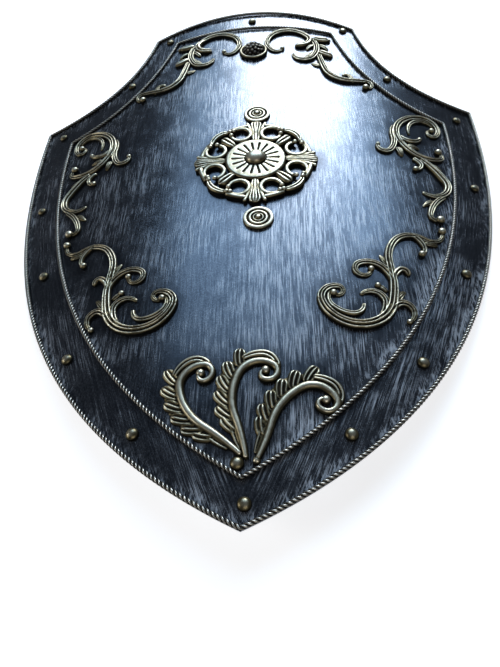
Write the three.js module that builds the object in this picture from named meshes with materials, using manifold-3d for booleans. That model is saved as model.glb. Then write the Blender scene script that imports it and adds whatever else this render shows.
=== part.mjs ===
// A heater shield: one bent iron sheet with twisted-wire borders, dome rivets and cast scroll ornaments.
// It lies face up on the long edges of the sheet. X runs across it, +Y to its top edge, Z up.
// The ornaments are drawn on the flat sheet, as u across and y along, and then bent with it.
import * as THREE from 'three';
import { mergeVertices } from 'three/addons/utils/BufferGeometryUtils.js';
import Module from 'manifold-3d';

const wasm = await Module();
wasm.setup();

// Sheet and how it lies, in millimetres and degrees
const BEND_RADIUS = 680;
const SHEET = 1.5;
const GAP = 0.3;
const REST_TILT = 3.1;
const REST_FLAT_DEPTH = 0.4;
const CENTRE_STRIP = 12;
const CENTRE_PAD = [100, -100];

// Outlines on the flat sheet: corner points and the handles of the curves between them
const RIM = {
  crown: 308,
  shoulder: [114.5, 238.5],
  earPull: [135, 124],
  ear: [229, 110.5],
  sidePull: [[229, -5], [204, -225.5]],
  tip: -316,
};
const BORDER = {
  crown: 252,
  shoulder: [88, 225],
  earPull: [115, 109.5],
  ear: [191.5, 78.5],
  sidePull: [[191.5, -62], [138, -208]],
  tip: -286,
};
const TOP_STEPS = 5;
const EAR_STEPS = 5;
const SIDE_STEPS = 16;

// Twisted wire
const WIRE = 3;
const WIRE_SIDES = 5;
const WIRE_INSET = 1.3;

// Rivets
const RIVET = { head: 4.5, height: 3.6, shank: 1.6, tail: 2.8, tailHeight: 1.1, sides: 6 };
const RIVET_HOLE = RIVET.shank + GAP;
const RIVETS = [
  [-2, 255], [102, 235], [142, 144], [209, 91], [204, -12], [171, -119], [121, -204], [67, -258], [2, -301],
  [-71, -256], [-131, -194], [-175, -106], [-202, -19], [-207, 96], [-134, 156], [-98, 233], [-3, -277],
];

// Ornaments
const RIDGE = 0.62;
const RIDGE_LIMITS = [1, 4.8];
const STEP_TURN = 52;
const KNOB_SIDES = 5;
const STEP_LENGTH = 20;
const ROUNDEL = {
  centre: [5, 2],
  disc: 27,
  dome: 9,
  domeHeight: 10.5,
  discBase: 1.2,
  discTop: 5,
  sides: 18,
};
const CALYX = { at: [23, 0], heading: 0, bends: [[31, 0]], width: [7, 6.5, 16] };
// The pierced web of the roundel, each corner a radius and an angle from a calyx
const WEB = {
  base: 1.2,
  top: 4.4,
  bore: 22,
  boreSides: 12,
  edge: [
    [50, -31], [51.5, -22], [50, -13], [54.5, -8.5],
    [54.5, 8.5], [50, 13], [51.5, 22], [50, 31], [53.5, 45],
  ],
  slot: [[47.5, 45], [46.5, 35], [43.5, 37], [44, 45], [43.5, 53], [46.5, 55]],
  hub: [39, 21],
  eye: 5.3,
  eyeSides: 7,
};
const DISC = { radius: 12.8, height: 2.6, dome: 3, sides: 12 };
const DISC_PLACES = { disc_upper: [5.5, 72], disc_lower: [8, -70.5] };
const CREST = {
  place: [0.5, 187],
  ring: 15.2,
  bore: 11.6,
  ringHeight: 4,
  boss: 11.2,
  bossHeight: 11,
  sides: 12,
};

// Strokes of the castings: a start point, a heading, and runs of [length, turn] with their widths
const UPPER_SCROLL = [
  {
    at: [118, 31], heading: -112,
    bends: [[19, 168], [21, 41], [19, -35]],
    width: [4, 6.5, 4], knobs: [2.4, 0],
  },
  {
    at: [141, 35], heading: 117,
    bends: [[28, -52], [33, -59], [36, -138], [18, -230]],
    width: [7, 7.5, 3], knobs: [0, 3],
  },
  { at: [152, 52], heading: 107, bends: [[26, -80], [20, -82]], width: [2.5, 5, 3] },
  {
    at: [140, 40], heading: -74,
    bends: [[19, 29], [28, 69], [13, 125]],
    width: [6, 7, 4], knobs: [0, 3.6],
  },
  { at: [141, 48], heading: -73, bends: [[25, 133]], width: [4, 6, 4.5], knobs: [0, 2.4] },
  { at: [146, 34], heading: -15, bends: [[13, 10]], width: [5, 6, 2] },
  { at: [137, 30], heading: -82, bends: [[13, 10]], width: [5, 6, 2.5] },
  { at: [149, 16], heading: -33, bends: [[9, -28], [13, -124]], width: [4, 5, 3], knobs: [0, 2.8] },
  { at: [156, 16], heading: -45, bends: [[33, -21], [28, -102], [14, -65]], width: [6, 8, 3] },
  { at: [166, 10], heading: -33, bends: [[11, 15]], width: [4, 5, 1.5] },
  { at: [171, -32], heading: -147, bends: [[31, 41], [12, 130]], width: [5, 6, 3.5], knobs: [0, 3.8] },
  { at: [159, -39], heading: -147, bends: [[14, 8]], width: [4, 5, 1.5] },
];
const LOWER_SCROLL = [
  {
    at: [159, -76], heading: -81,
    bends: [[25, -129], [30, 84], [25, 40], [20, -4]],
    width: [3.5, 6.5, 7], knobs: [3.4, 0],
  },
  { at: [131, -84], heading: -25, bends: [[18, -62], [7, -69]], width: [5, 5, 3.5], knobs: [0, 3] },
  { at: [141, -91], heading: -10, bends: [[12, 7]], width: [4, 5, 3] },
  {
    at: [110, -131], heading: -92,
    bends: [[24, -12], [28, -58], [43, -93], [23, -112], [16, -225]],
    width: [7, 8.5, 3], knobs: [0, 2.8],
  },
  { at: [85, -156], heading: -81, bends: [[16, -105], [14, -39], [16, -83]], width: [3.5, 5, 2.5] },
  { at: [93, -171], heading: 38, bends: [[18, 46], [15, 87], [11, 60]], width: [5, 6, 3] },
  {
    at: [109, -136], heading: 86,
    bends: [[20, 61], [16, 59], [27, 248]],
    width: [6, 6, 3], knobs: [0, 2.6],
  },
  { at: [104, -145], heading: 126, bends: [[9, 23]], width: [3, 4, 3], knobs: [0, 2.4] },
  { at: [109, -121], heading: 115, bends: [[15, 4]], width: [4, 5, 1.5] },
  { at: [111, -136], heading: 103, bends: [[15, -66], [11, -150]], width: [4, 6, 4.5] },
  { at: [108, -156], heading: 72, bends: [[17, -42]], width: [4, 6.5, 1.5] },
  {
    at: [99, -168], heading: 60,
    bends: [[16, -23], [15, -116], [12, -70]],
    width: [6, 6.5, 3], knobs: [0, 2.4],
  },
];
const CREST_SCROLL = [
  {
    at: [32, 192], heading: -105,
    bends: [[14, -125], [47, -113], [34, -80]],
    width: [3.5, 7, 6], knobs: [2.6, 0],
  },
  { at: [53, 223], heading: -30, bends: [[13, -37], [28, -136]], width: [4, 6, 4] },
  { at: [61, 216], heading: -50, bends: [[25, -40], [25, -28], [25, -130]], width: [5, 7, 3] },
  { at: [70, 190], heading: -112, bends: [[21, -44]], width: [4, 6, 2.5] },
  { at: [69, 200], heading: -153, bends: [[15, 35]], width: [4, 5, 3] },
  {
    at: [71, 180], heading: -83,
    bends: [[30, 6], [34, 83], [16, -2], [20, -200]],
    width: [6, 7.5, 3], knobs: [0, 3.4],
  },
  { at: [66, 212], heading: -28, bends: [[18, 40]], width: [5, 7, 5.5], knobs: [0, 2.6] },
  { at: [71, 198], heading: -5, bends: [[14, -63]], width: [4, 5, 3] },
  { at: [71, 187], heading: -57, bends: [[19, 47]], width: [4, 6, 4.5] },
  { at: [97, 130], heading: 20, bends: [[16, 108], [8, 120]], width: [5, 5, 3.5] },
  { at: [101, 130], heading: 33, bends: [[14, 4]], width: [5, 5, 1.5] },
  { at: [73, 159], heading: -178, bends: [[12, -51]], width: [5, 5, 1.5] },
];
const PLUME_STEM = {
  heading: 0,
  bends: [[25, 12], [33, -46], [27, -100], [27, -245]],
  width: [4.5, 5.2, 3.4],
  knobs: [0, 3.6],
};
const PLUME_LOBES = {
  count: 6,
  first: 17,
  step: 9.4,
  offset: 3.5,
  lean: 40,
  leanStep: 3,
  bends: [[12.8, -24]],
  width: [6.5, 9, 6],
};
const PLUME_CREST = { along: 66, offset: 6, lean: 2, bends: [[13, -35], [14, -75]], width: [3, 5.5, 3.2] };
const PLUME_TAIL = { along: 8, offset: 3.2, lean: 14, bends: [[15, -6]], width: [2.5, 4.5, 5] };
const PLUMES = {
  plume_left: { foot: [-4.5, -268.3], heading: 135.5 },
  plume_middle: { foot: [2, -271.5], heading: 99 },
  plume_right: { foot: [8.9, -275.4], heading: 63.6 },
};

// Finishes
function finish(color, roughness, metalness) {
  return new THREE.MeshStandardMaterial({ color, roughness, metalness });
}
const IRON = finish(0x3a4150, 0.45, 0.9);
const WIRE_METAL = finish(0x8b8578, 0.4, 1);
const BRONZE = finish(0x9a8a66, 0.38, 1);
const DARK_BRONZE = finish(0x3d352b, 0.5, 1);

const radians = THREE.MathUtils.degToRad;

// A point of the flat sheet, h above its front face, carried to its place on the bent sheet
function bend(u, y, h) {
  const angle = u / BEND_RADIUS;
  const reach = BEND_RADIUS + h;
  return new THREE.Vector3(reach * Math.sin(angle), y, reach * Math.cos(angle) - BEND_RADIUS);
}

// A closed geometry from points and triangles, turned so that its faces point out
function closedGeometry(points, faces) {
  let volume = 0;
  for (const [a, b, c] of faces) {
    volume += points[a].dot(points[b].clone().cross(points[c]));
  }
  const outward = volume < 0 ? faces.map(([a, b, c]) => [a, c, b]) : faces;
  const geometry = new THREE.BufferGeometry().setFromPoints(points);
  geometry.setIndex(outward.flat());
  return geometry;
}

// The same surface with shared vertices merged and collapsed triangles dropped
function welded(geometry) {
  const bare = geometry.clone();
  bare.deleteAttribute('normal');
  bare.deleteAttribute('uv');
  const merged = mergeVertices(bare, 1e-4);
  const index = merged.index.array;
  const kept = [];
  for (let i = 0; i < index.length; i += 3) {
    const [a, b, c] = [index[i], index[i + 1], index[i + 2]];
    if (a !== b && b !== c && c !== a) {
      kept.push(a, b, c);
    }
  }
  merged.setIndex(kept);
  return merged;
}

function toSolid(geometry) {
  const closed = welded(geometry);
  const vertProperties = closed.attributes.position.array;
  const triVerts = new Uint32Array(closed.index.array);
  return new wasm.Manifold(new wasm.Mesh({ numProp: 3, vertProperties, triVerts }));
}

function toGeometry(solid) {
  const { numProp, vertProperties, triVerts } = solid.getMesh();
  const position = new Float32Array((vertProperties.length / numProp) * 3);
  for (let i = 0; i < position.length / 3; i += 1) {
    position.set(vertProperties.subarray(i * numProp, i * numProp + 3), i * 3);
  }
  const geometry = new THREE.BufferGeometry();
  geometry.setAttribute('position', new THREE.BufferAttribute(position, 3));
  geometry.setIndex(Array.from(triVerts));
  return geometry;
}

// A flat-sheet geometry with every vertex bent into place
function bent(geometry) {
  const position = geometry.attributes.position;
  for (let i = 0; i < position.count; i += 1) {
    const point = bend(position.getX(i), position.getY(i), position.getZ(i));
    position.setXYZ(i, point.x, point.y, point.z);
  }
  return geometry;
}

// A turned solid standing on the flat sheet: the profile lists [radius, height] from axis to axis
function turned(profile, sides) {
  const lathe = new THREE.LatheGeometry(profile.map(([r, h]) => new THREE.Vector2(r, h)), sides);
  return welded(lathe.rotateX(Math.PI / 2));
}

// Outline curves of the right half, from the top edge round to the tip
function outlineCurves(spec) {
  const point = ([u, y]) => new THREE.Vector2(u, y);
  const [u, y] = spec.shoulder;
  return {
    top: new THREE.QuadraticBezierCurve(point([-u, y]), point([0, spec.crown]), point(spec.shoulder)),
    ear: new THREE.QuadraticBezierCurve(point(spec.shoulder), point(spec.earPull), point(spec.ear)),
    side: new THREE.CubicBezierCurve(point(spec.ear), ...spec.sidePull.map(point), point([0, spec.tip])),
  };
}

function closedOutline(spec) {
  const { top, ear, side } = outlineCurves(spec);
  const half = [
    ...top.getPoints(2 * TOP_STEPS).slice(TOP_STEPS + 1),
    ...ear.getPoints(EAR_STEPS).slice(1),
    ...side.getPoints(SIDE_STEPS).slice(1, -1),
  ];
  const mirrored = half.map((p) => new THREE.Vector2(-p.x, p.y)).reverse();
  return [top.getPoint(0.5), ...half, new THREE.Vector2(0, spec.tip), ...mirrored];
}

// Mitre vectors of a clockwise closed path, pointing to its outer side
function mitres(path) {
  return path.map((p, i) => {
    const before = path[(i + path.length - 1) % path.length];
    const after = path[(i + 1) % path.length];
    const inDir = p.clone().sub(before).normalize();
    const outDir = after.clone().sub(p).normalize();
    const a = new THREE.Vector2(-inDir.y, inDir.x);
    const b = new THREE.Vector2(-outDir.y, outDir.x);
    return a.clone().add(b).divideScalar(1 + a.dot(b));
  });
}

function insetPath(path, distance) {
  const outer = mitres(path);
  return path.map((p, i) => p.clone().addScaledVector(outer[i], -distance));
}

// A round wire laid along a closed path, its underside a gap above the sheet
function wireRing(path) {
  const outer = mitres(path);
  const radius = WIRE / 2;
  const points = [];
  const faces = [];
  const count = path.length;
  for (let i = 0; i < count; i += 1) {
    for (let s = 0; s < WIRE_SIDES; s += 1) {
      const angle = (2 * Math.PI * s) / WIRE_SIDES;
      const place = path[i].clone().addScaledVector(outer[i], radius * Math.cos(angle));
      points.push(bend(place.x, place.y, GAP + radius + radius * Math.sin(angle)));
      const next = (s + 1) % WIRE_SIDES;
      const here = i * WIRE_SIDES;
      const there = ((i + 1) % count) * WIRE_SIDES;
      faces.push([here + s, there + s, there + next], [here + s, there + next, here + next]);
    }
  }
  return closedGeometry(points, faces);
}

// Triangles between two chains of points that run side by side
function stitched(left, right) {
  const faces = [];
  let [i, j] = [0, 0];
  while (i + 1 < left.length || j + 1 < right.length) {
    if (j + 1 === right.length || (i + 1) * (right.length - 1) <= (j + 1) * (left.length - 1)) {
      faces.push([left[i], left[i + 1], right[j]]);
      i += 1;
    } else {
      faces.push([left[i], right[j + 1], right[j]]);
      j += 1;
    }
  }
  return faces;
}

// The sheet as straight strips along y, because it bends one way only
function sheetGeometry() {
  const { top, ear, side } = outlineCurves(RIM);
  const [shoulderU] = RIM.shoulder;
  const heightAt = (curve, u, from) => {
    let low = from;
    let high = 1;
    const rising = curve.getPoint(1).x > curve.getPoint(from).x;
    for (let i = 0; i < 40; i += 1) {
      const middle = (low + high) / 2;
      const before = curve.getPoint(middle).x < u === rising;
      [low, high] = before ? [middle, high] : [low, middle];
    }
    return curve.getPoint((low + high) / 2).y;
  };
  const sideStations = side.getPoints(SIDE_STEPS).map((p) => p.x);
  const apart = (u) => Math.abs(u - shoulderU) > 3 && u > CENTRE_STRIP;
  const half = [CENTRE_STRIP / 2, shoulderU, ...sideStations.filter(apart)].sort((a, b) => a - b);
  const stations = [...half.map((u) => -u).reverse(), ...half];
  const points = [];
  const fronts = [];
  const backs = [];
  for (const u of stations) {
    const reach = Math.abs(u);
    const corner = reach === RIM.ear[0];
    const high = reach <= shoulderU ? heightAt(top, reach, 0.5) : heightAt(ear, reach, 0);
    const low = corner ? RIM.ear[1] : heightAt(side, reach, 0);
    const ends = [corner ? RIM.ear[1] : high, low];
    const onStrip = reach === CENTRE_STRIP / 2;
    const chainOf = (heights, h) => heights.map((y) => points.push(bend(u, y, h)) - 1);
    fronts.push(chainOf(ends, 0));
    backs.push(chainOf(onStrip ? [ends[0], ...CENTRE_PAD, ends[1]] : ends, -SHEET));
  }
  const faces = [];
  const quad = (a, b, c, d) => faces.push([a, b, c], [a, c, d]);
  for (let i = 0; i + 1 < stations.length; i += 1) {
    const [front, nextFront] = [fronts[i], fronts[i + 1]];
    const [back, nextBack] = [backs[i], backs[i + 1]];
    faces.push(...stitched(front, nextFront));
    faces.push(...stitched(nextBack, back));
    quad(front.at(0), nextFront.at(0), nextBack.at(0), back.at(0));
    quad(front.at(-1), back.at(-1), nextBack.at(-1), nextFront.at(-1));
  }
  return welded(closedGeometry(points, faces));
}

// Stations along a stroke, with the position, heading and share of its length at each
function trace({ at, heading, bends }) {
  const whole = bends.reduce((sum, [length]) => sum + length, 0);
  const stations = [{ u: at[0], y: at[1], heading: radians(heading), share: 0 }];
  let done = 0;
  for (const [length, turn] of bends) {
    const steps = Math.max(1, Math.ceil(Math.abs(turn) / STEP_TURN), Math.ceil(length / STEP_LENGTH));
    const half = radians(turn) / steps / 2;
    const chord = (length / steps) * (half === 0 ? 1 : Math.sin(half) / half);
    for (let i = 0; i < steps; i += 1) {
      const last = stations[stations.length - 1];
      const along = last.heading + half;
      done += length / steps;
      stations.push({
        u: last.u + chord * Math.cos(along),
        y: last.y + chord * Math.sin(along),
        heading: last.heading + 2 * half,
        share: done / whole,
      });
    }
  }
  return stations;
}

// A curve through the start, middle and end widths of a stroke
function widthAt([start, middle, end], share) {
  const s = share;
  return start * (1 - s) * (1 - 2 * s) + 4 * middle * s * (1 - s) + end * s * (2 * s - 1);
}

function knob(u, y, radius) {
  const waist = radius * Math.SQRT1_2;
  const profile = [[0, GAP], [radius, GAP], [waist, GAP + radius], [0, GAP + 1.35 * radius]];
  return toSolid(turned(profile, KNOB_SIDES).translate(u, y, 0));
}

// The solids of one stroke: a ridge on the flat sheet and round knobs at its ends
function strokeSolids(stroke) {
  const stations = trace(stroke);
  const points = [];
  const faces = [];
  stations.forEach(({ u, y, heading, share }, i) => {
    const width = widthAt(stroke.width, share);
    const rise = THREE.MathUtils.clamp(RIDGE * width, ...RIDGE_LIMITS);
    const across = [(-Math.sin(heading) * width) / 2, (Math.cos(heading) * width) / 2];
    points.push(
      new THREE.Vector3(u + across[0], y + across[1], GAP),
      new THREE.Vector3(u - across[0], y - across[1], GAP),
      new THREE.Vector3(u, y, GAP + rise),
    );
    for (let s = 0; s < 3 && i > 0; s += 1) {
      const [a, b] = [3 * i - 3 + s, 3 * i - 3 + ((s + 1) % 3)];
      faces.push([a, b, b + 3], [a, b + 3, a + 3]);
    }
  });
  const end = points.length - 3;
  faces.push([0, 2, 1], [end, end + 1, end + 2]);
  const solids = [toSolid(closedGeometry(points, faces))];
  const ends = [stations[0], stations[stations.length - 1]];
  (stroke.knobs ?? [0, 0]).forEach((radius, i) => {
    if (radius > 0) {
      solids.push(knob(ends[i].u, ends[i].y, radius));
    }
  });
  return solids;
}

// One casting: all its strokes joined on the flat sheet and bent into place
function casting(strokes, more = []) {
  const solids = [...strokes.flatMap(strokeSolids), ...more];
  return bent(toGeometry(solids.reduce((whole, solid) => whole.add(solid))));
}

function mirrored(strokes) {
  return strokes.map((stroke) => ({
    ...stroke,
    at: [-stroke.at[0], stroke.at[1]],
    heading: 180 - stroke.heading,
    bends: stroke.bends.map(([length, turn]) => [length, -turn]),
  }));
}

// A stroke given in polar terms round a centre, turned by an angle
function around([u, y], stroke, angle) {
  const place = new THREE.Vector2(...stroke.at).rotateAround(new THREE.Vector2(), radians(angle));
  return { ...stroke, at: [u + place.x, y + place.y], heading: stroke.heading + angle };
}

// A plume: a stem that curls over, with leaf lobes along its outer side
function plumeStrokes({ foot, heading }) {
  const stem = { ...PLUME_STEM, at: foot, heading };
  const stations = trace(stem);
  const whole = stem.bends.reduce((sum, [length]) => sum + length, 0);
  const beside = ({ along, offset, lean, bends, width }) => {
    const share = along / whole;
    const after = stations.findIndex((station) => station.share >= share);
    const [a, b] = [stations[after - 1], stations[after]];
    const mix = (share - a.share) / (b.share - a.share);
    const turn = THREE.MathUtils.lerp(a.heading, b.heading, mix);
    const u = THREE.MathUtils.lerp(a.u, b.u, mix) - offset * Math.sin(turn);
    const y = THREE.MathUtils.lerp(a.y, b.y, mix) + offset * Math.cos(turn);
    return { at: [u, y], heading: THREE.MathUtils.radToDeg(turn) + lean, bends, width };
  };
  const lobes = Array.from({ length: PLUME_LOBES.count }, (_, i) => beside({
    ...PLUME_LOBES,
    along: PLUME_LOBES.first + i * PLUME_LOBES.step,
    lean: PLUME_LOBES.lean + i * PLUME_LOBES.leanStep,
  }));
  return [stem, beside(PLUME_TAIL), ...lobes, beside(PLUME_CREST)];
}

function polar(radius, angle) {
  return new THREE.Vector2(radius, 0).rotateAround(new THREE.Vector2(), radians(angle));
}

// The roundel's web with a slot and two eyes through each quarter
function webSolid(centre) {
  const quarters = [0, 90, 180, 270];
  const middle = new THREE.Vector2(...centre);
  const placed = (turn, hand = 1) => ([radius, angle]) => polar(radius, turn + hand * angle).add(middle);
  const ring = (hub, radius, sides) => (
    Array.from({ length: sides }, (_, i) => polar(radius, (360 * i) / sides).add(hub))
  );
  const outline = new THREE.Shape(quarters.flatMap((turn) => WEB.edge.map(placed(turn))));
  const holes = [ring(middle, WEB.bore, WEB.boreSides)];
  for (const turn of quarters) {
    holes.push(WEB.slot.map(placed(turn)));
    for (const hand of [1, -1]) {
      holes.push(ring(placed(turn, hand)(WEB.hub), WEB.eye, WEB.eyeSides));
    }
  }
  outline.holes = holes.map((hole) => new THREE.Path(hole));
  const slab = new THREE.ExtrudeGeometry(outline, { depth: WEB.top - WEB.base, bevelEnabled: false });
  return toSolid(slab.translate(0, 0, WEB.base));
}

// The roundel: a pierced web with four calyxes, and the domed disc it carries
function roundelGeometry() {
  const { centre, disc, dome, domeHeight, discBase, discTop, sides } = ROUNDEL;
  const calyxes = [0, 90, 180, 270].map((turn) => around(centre, CALYX, turn));
  const profile = [
    [0, discBase], [disc - 1, discBase], [disc, discBase + 1.2], [disc - 2.5, discTop],
    [dome + 2, discTop - 0.8], [dome, discTop], [0.7 * dome, domeHeight - 2], [0, domeHeight],
  ];
  const plate = toSolid(turned(profile, sides).translate(centre[0], centre[1], 0));
  return casting(calyxes, [plate, webSolid(centre)]);
}

function ringedDisc([u, y]) {
  const { radius, height, dome, sides } = DISC;
  const profile = [[0, GAP], [radius, GAP], [radius - 1, height], [dome, height], [0, height + 1.6]];
  return bent(turned(profile, sides).translate(u, y, 0));
}

function crestRing() {
  const { place, ring, bore, ringHeight, sides } = CREST;
  const profile = [
    [bore, GAP], [ring, GAP], [ring - 0.4, ringHeight - 1],
    [ring - 1.6, ringHeight], [bore + 0.6, ringHeight - 0.8], [bore, GAP],
  ];
  return bent(turned(profile, sides).translate(place[0], place[1], 0));
}

function crestBoss() {
  const { place, boss, bossHeight, sides } = CREST;
  const profile = [[0, GAP], [boss, GAP], [boss, 2]];
  for (const angle of [30, 60]) {
    profile.push([boss * Math.cos(radians(angle)), 2 + (bossHeight - 2) * Math.sin(radians(angle))]);
  }
  profile.push([0, bossHeight]);
  return bent(turned(profile, sides).translate(place[0], place[1], 0));
}

function rivetGeometry() {
  const { head, height, shank, tail, tailHeight, sides } = RIVET;
  const back = -SHEET - GAP;
  const profile = [
    [0, back - tailHeight], [tail, back], [shank, back], [shank, GAP],
    [head, GAP], [0.76 * head, 0.68 * height], [0, height],
  ];
  return turned(profile, sides);
}

// Assembly
const shield = new THREE.Group();
const lying = new THREE.Group();
shield.add(lying);
lying.rotation.x = radians(REST_TILT);

function addPiece(name, geometry, material) {
  const piece = new THREE.Mesh(geometry, material);
  piece.name = name;
  lying.add(piece);
  return piece;
}

// The lowest point of the sheet's edge as it lies, and the plane that flattens the two resting spots
const sheet = sheetGeometry();
const lowest = new THREE.Box3().setFromBufferAttribute(
  sheet.clone().rotateX(radians(REST_TILT)).attributes.position,
).min.z;
const floorHeight = lowest + REST_FLAT_DEPTH;
const cutter = new THREE.BoxGeometry(700, 900, 40);
cutter.translate(0, 0, floorHeight - 20).rotateX(radians(-REST_TILT));

let plate = toSolid(sheet).subtract(toSolid(cutter));
for (const [u, y] of RIVETS) {
  const bore = new THREE.CylinderGeometry(RIVET_HOLE, RIVET_HOLE, 6 * SHEET, RIVET.sides);
  const place = bend(u, y, 0);
  bore.rotateX(Math.PI / 2).rotateY(u / BEND_RADIUS).translate(place.x, place.y, place.z);
  plate = plate.subtract(toSolid(bore));
}
addPiece('shield_plate', toGeometry(plate), IRON);

addPiece('rim_rope', wireRing(insetPath(closedOutline(RIM), WIRE_INSET)), WIRE_METAL);
addPiece('border_rope', wireRing(closedOutline(BORDER)), WIRE_METAL);

RIVETS.forEach(([u, y], i) => {
  const rivet = addPiece(`rivet_${String(i + 1).padStart(2, '0')}`, rivetGeometry(), BRONZE);
  rivet.position.copy(bend(u, y, 0));
  rivet.rotation.y = u / BEND_RADIUS;
});

addPiece('roundel', roundelGeometry(), BRONZE);
for (const [name, place] of Object.entries(DISC_PLACES)) {
  addPiece(name, ringedDisc(place), BRONZE);
}
addPiece('crest_ring', crestRing(), BRONZE);
addPiece('crest_boss', crestBoss(), DARK_BRONZE);

const scrolls = { crest_scroll: CREST_SCROLL, upper_scroll: UPPER_SCROLL, lower_scroll: LOWER_SCROLL };
for (const [name, strokes] of Object.entries(scrolls)) {
  addPiece(`${name}_right`, casting(strokes), BRONZE);
  addPiece(`${name}_left`, casting(mirrored(strokes)), BRONZE);
}
for (const [name, spec] of Object.entries(PLUMES)) {
  addPiece(name, casting(plumeStrokes(spec)), BRONZE);
}

// The origin is under the middle of the shield, on the plane it lies on
shield.updateMatrixWorld(true);
const extent = new THREE.Box3().setFromObject(shield, true);
lying.position.set(0, -(extent.min.y + extent.max.y) / 2, -floorHeight);

export default shield;
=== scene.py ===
"""Looks of a heater shield: a bent iron sheet with twisted-wire borders, dome rivets and cast scrollwork.

The ornaments are drawn on the flat sheet in millimetres, as u across, y along and h above its face,
and are then carried to their place on the bent sheet as it lies, in metres.
"""

import logging
import math
from dataclasses import dataclass, replace
from enum import Enum
from functools import reduce
from typing import Callable, Sequence

import bmesh
import bpy
import numpy as np
from mathutils import Matrix, Vector
from mathutils.kdtree import KDTree


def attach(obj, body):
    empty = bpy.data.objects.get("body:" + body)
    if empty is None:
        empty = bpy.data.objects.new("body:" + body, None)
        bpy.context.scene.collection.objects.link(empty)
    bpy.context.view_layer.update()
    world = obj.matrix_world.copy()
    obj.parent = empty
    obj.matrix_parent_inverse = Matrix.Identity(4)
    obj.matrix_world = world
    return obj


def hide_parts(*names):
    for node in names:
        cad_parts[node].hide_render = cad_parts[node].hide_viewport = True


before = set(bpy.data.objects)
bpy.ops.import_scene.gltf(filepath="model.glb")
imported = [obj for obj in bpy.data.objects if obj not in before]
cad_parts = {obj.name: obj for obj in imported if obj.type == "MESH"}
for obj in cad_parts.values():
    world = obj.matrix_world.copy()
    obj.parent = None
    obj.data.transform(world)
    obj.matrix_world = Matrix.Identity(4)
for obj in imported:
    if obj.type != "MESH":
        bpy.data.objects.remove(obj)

LOG = logging.getLogger("shield")
MM = 0.001
BODY = "root"
SUNK = 0.3
FINE = 400
IMAGE_LONG_SIDE = 667

Flat = tuple[float, float]
Colour = tuple[float, float, float]


def bezier(points: Sequence[Flat], t: np.ndarray) -> np.ndarray:
    """Points of a Bezier curve.

    Args:
        points: Its end points and handles.
        t: Curve parameters from 0 to 1.

    Returns:
        One row of u and y for each parameter.
    """
    degree = len(points) - 1
    rows = np.zeros((len(t), 2))
    for i, point in enumerate(points):
        weight = math.comb(degree, i) * (1 - t) ** (degree - i) * t**i
        rows += weight[:, None] * np.array(point)
    return rows


def even_steps(rows: np.ndarray, spacing: float) -> np.ndarray:
    """The same open path with its points evenly spread.

    Args:
        rows: Points of the path, close together.
        spacing: Wanted distance between points.

    Returns:
        Evenly spread points, both ends kept.
    """
    along = np.concatenate([[0.0], np.cumsum(np.linalg.norm(np.diff(rows, axis=0), axis=1))])
    count = max(2, round(along[-1] / spacing) + 1)
    wanted = np.linspace(0.0, along[-1], count)
    return np.stack([np.interp(wanted, along, rows[:, i]) for i in range(2)], axis=1)


def nearest(rows: np.ndarray, marks: np.ndarray) -> tuple[np.ndarray, np.ndarray]:
    """The nearest mark to each point.

    Args:
        rows: Rows of two or three coordinates.
        marks: Rows of as many coordinates to measure to.

    Returns:
        Number of the nearest mark, and the distance to it.
    """
    rows, marks = (np.pad(part, ((0, 0), (0, 3 - part.shape[1]))) for part in (rows, marks))
    tree = KDTree(len(marks))
    for i, mark in enumerate(marks):
        tree.insert(mark, i)
    tree.balance()
    found = [tree.find(row) for row in rows]
    return np.array([hit[1] for hit in found]), np.array([hit[2] for hit in found])


@dataclass(frozen=True)
class BentSheet:
    """The sheet that carries everything: bent one way about its long axis, and tilted as it lies."""

    radius: float = 680.0
    thickness: float = 1.5
    tilt: float = 3.1
    shift: float = 21.453
    lift: float = 36.452

    def pose(self) -> Matrix:
        """The turn and shift from the level sheet to the sheet as it lies."""
        turn = Matrix.Rotation(math.radians(self.tilt), 4, "X")
        return Matrix.Translation((0.0, self.shift * MM, self.lift * MM)) @ turn

    def place(self, flat: np.ndarray) -> np.ndarray:
        """Carries points of the flat sheet to their place.

        Args:
            flat: Rows of u, y and h in millimetres.

        Returns:
            Rows of x, y and z in metres.
        """
        angle = flat[:, 0] / self.radius
        reach = self.radius + flat[:, 2]
        local = np.stack([reach * np.sin(angle), flat[:, 1], reach * np.cos(angle) - self.radius], axis=1)
        pose = np.array(self.pose())
        return local * MM @ pose[:3, :3].T + pose[:3, 3]

    def flatten(self, rows: np.ndarray) -> np.ndarray:
        """Carries points from their place back to the flat sheet.

        Args:
            rows: Rows of x, y and z in metres.

        Returns:
            Rows of u, y and h in millimetres.
        """
        pose = np.array(self.pose().inverted())
        local = (rows @ pose[:3, :3].T + pose[:3, 3]) / MM
        angle = np.arctan2(local[:, 0], local[:, 2] + self.radius)
        reach = np.hypot(local[:, 0], local[:, 2] + self.radius)
        return np.stack([angle * self.radius, local[:, 1], reach - self.radius], axis=1)

    def facing(self, u: float) -> Vector:
        """The outward direction of the sheet's face at u."""
        angle = u / self.radius
        return self.pose().to_3x3() @ Vector((math.sin(angle), 0.0, math.cos(angle)))


SHEET = BentSheet()


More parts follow.
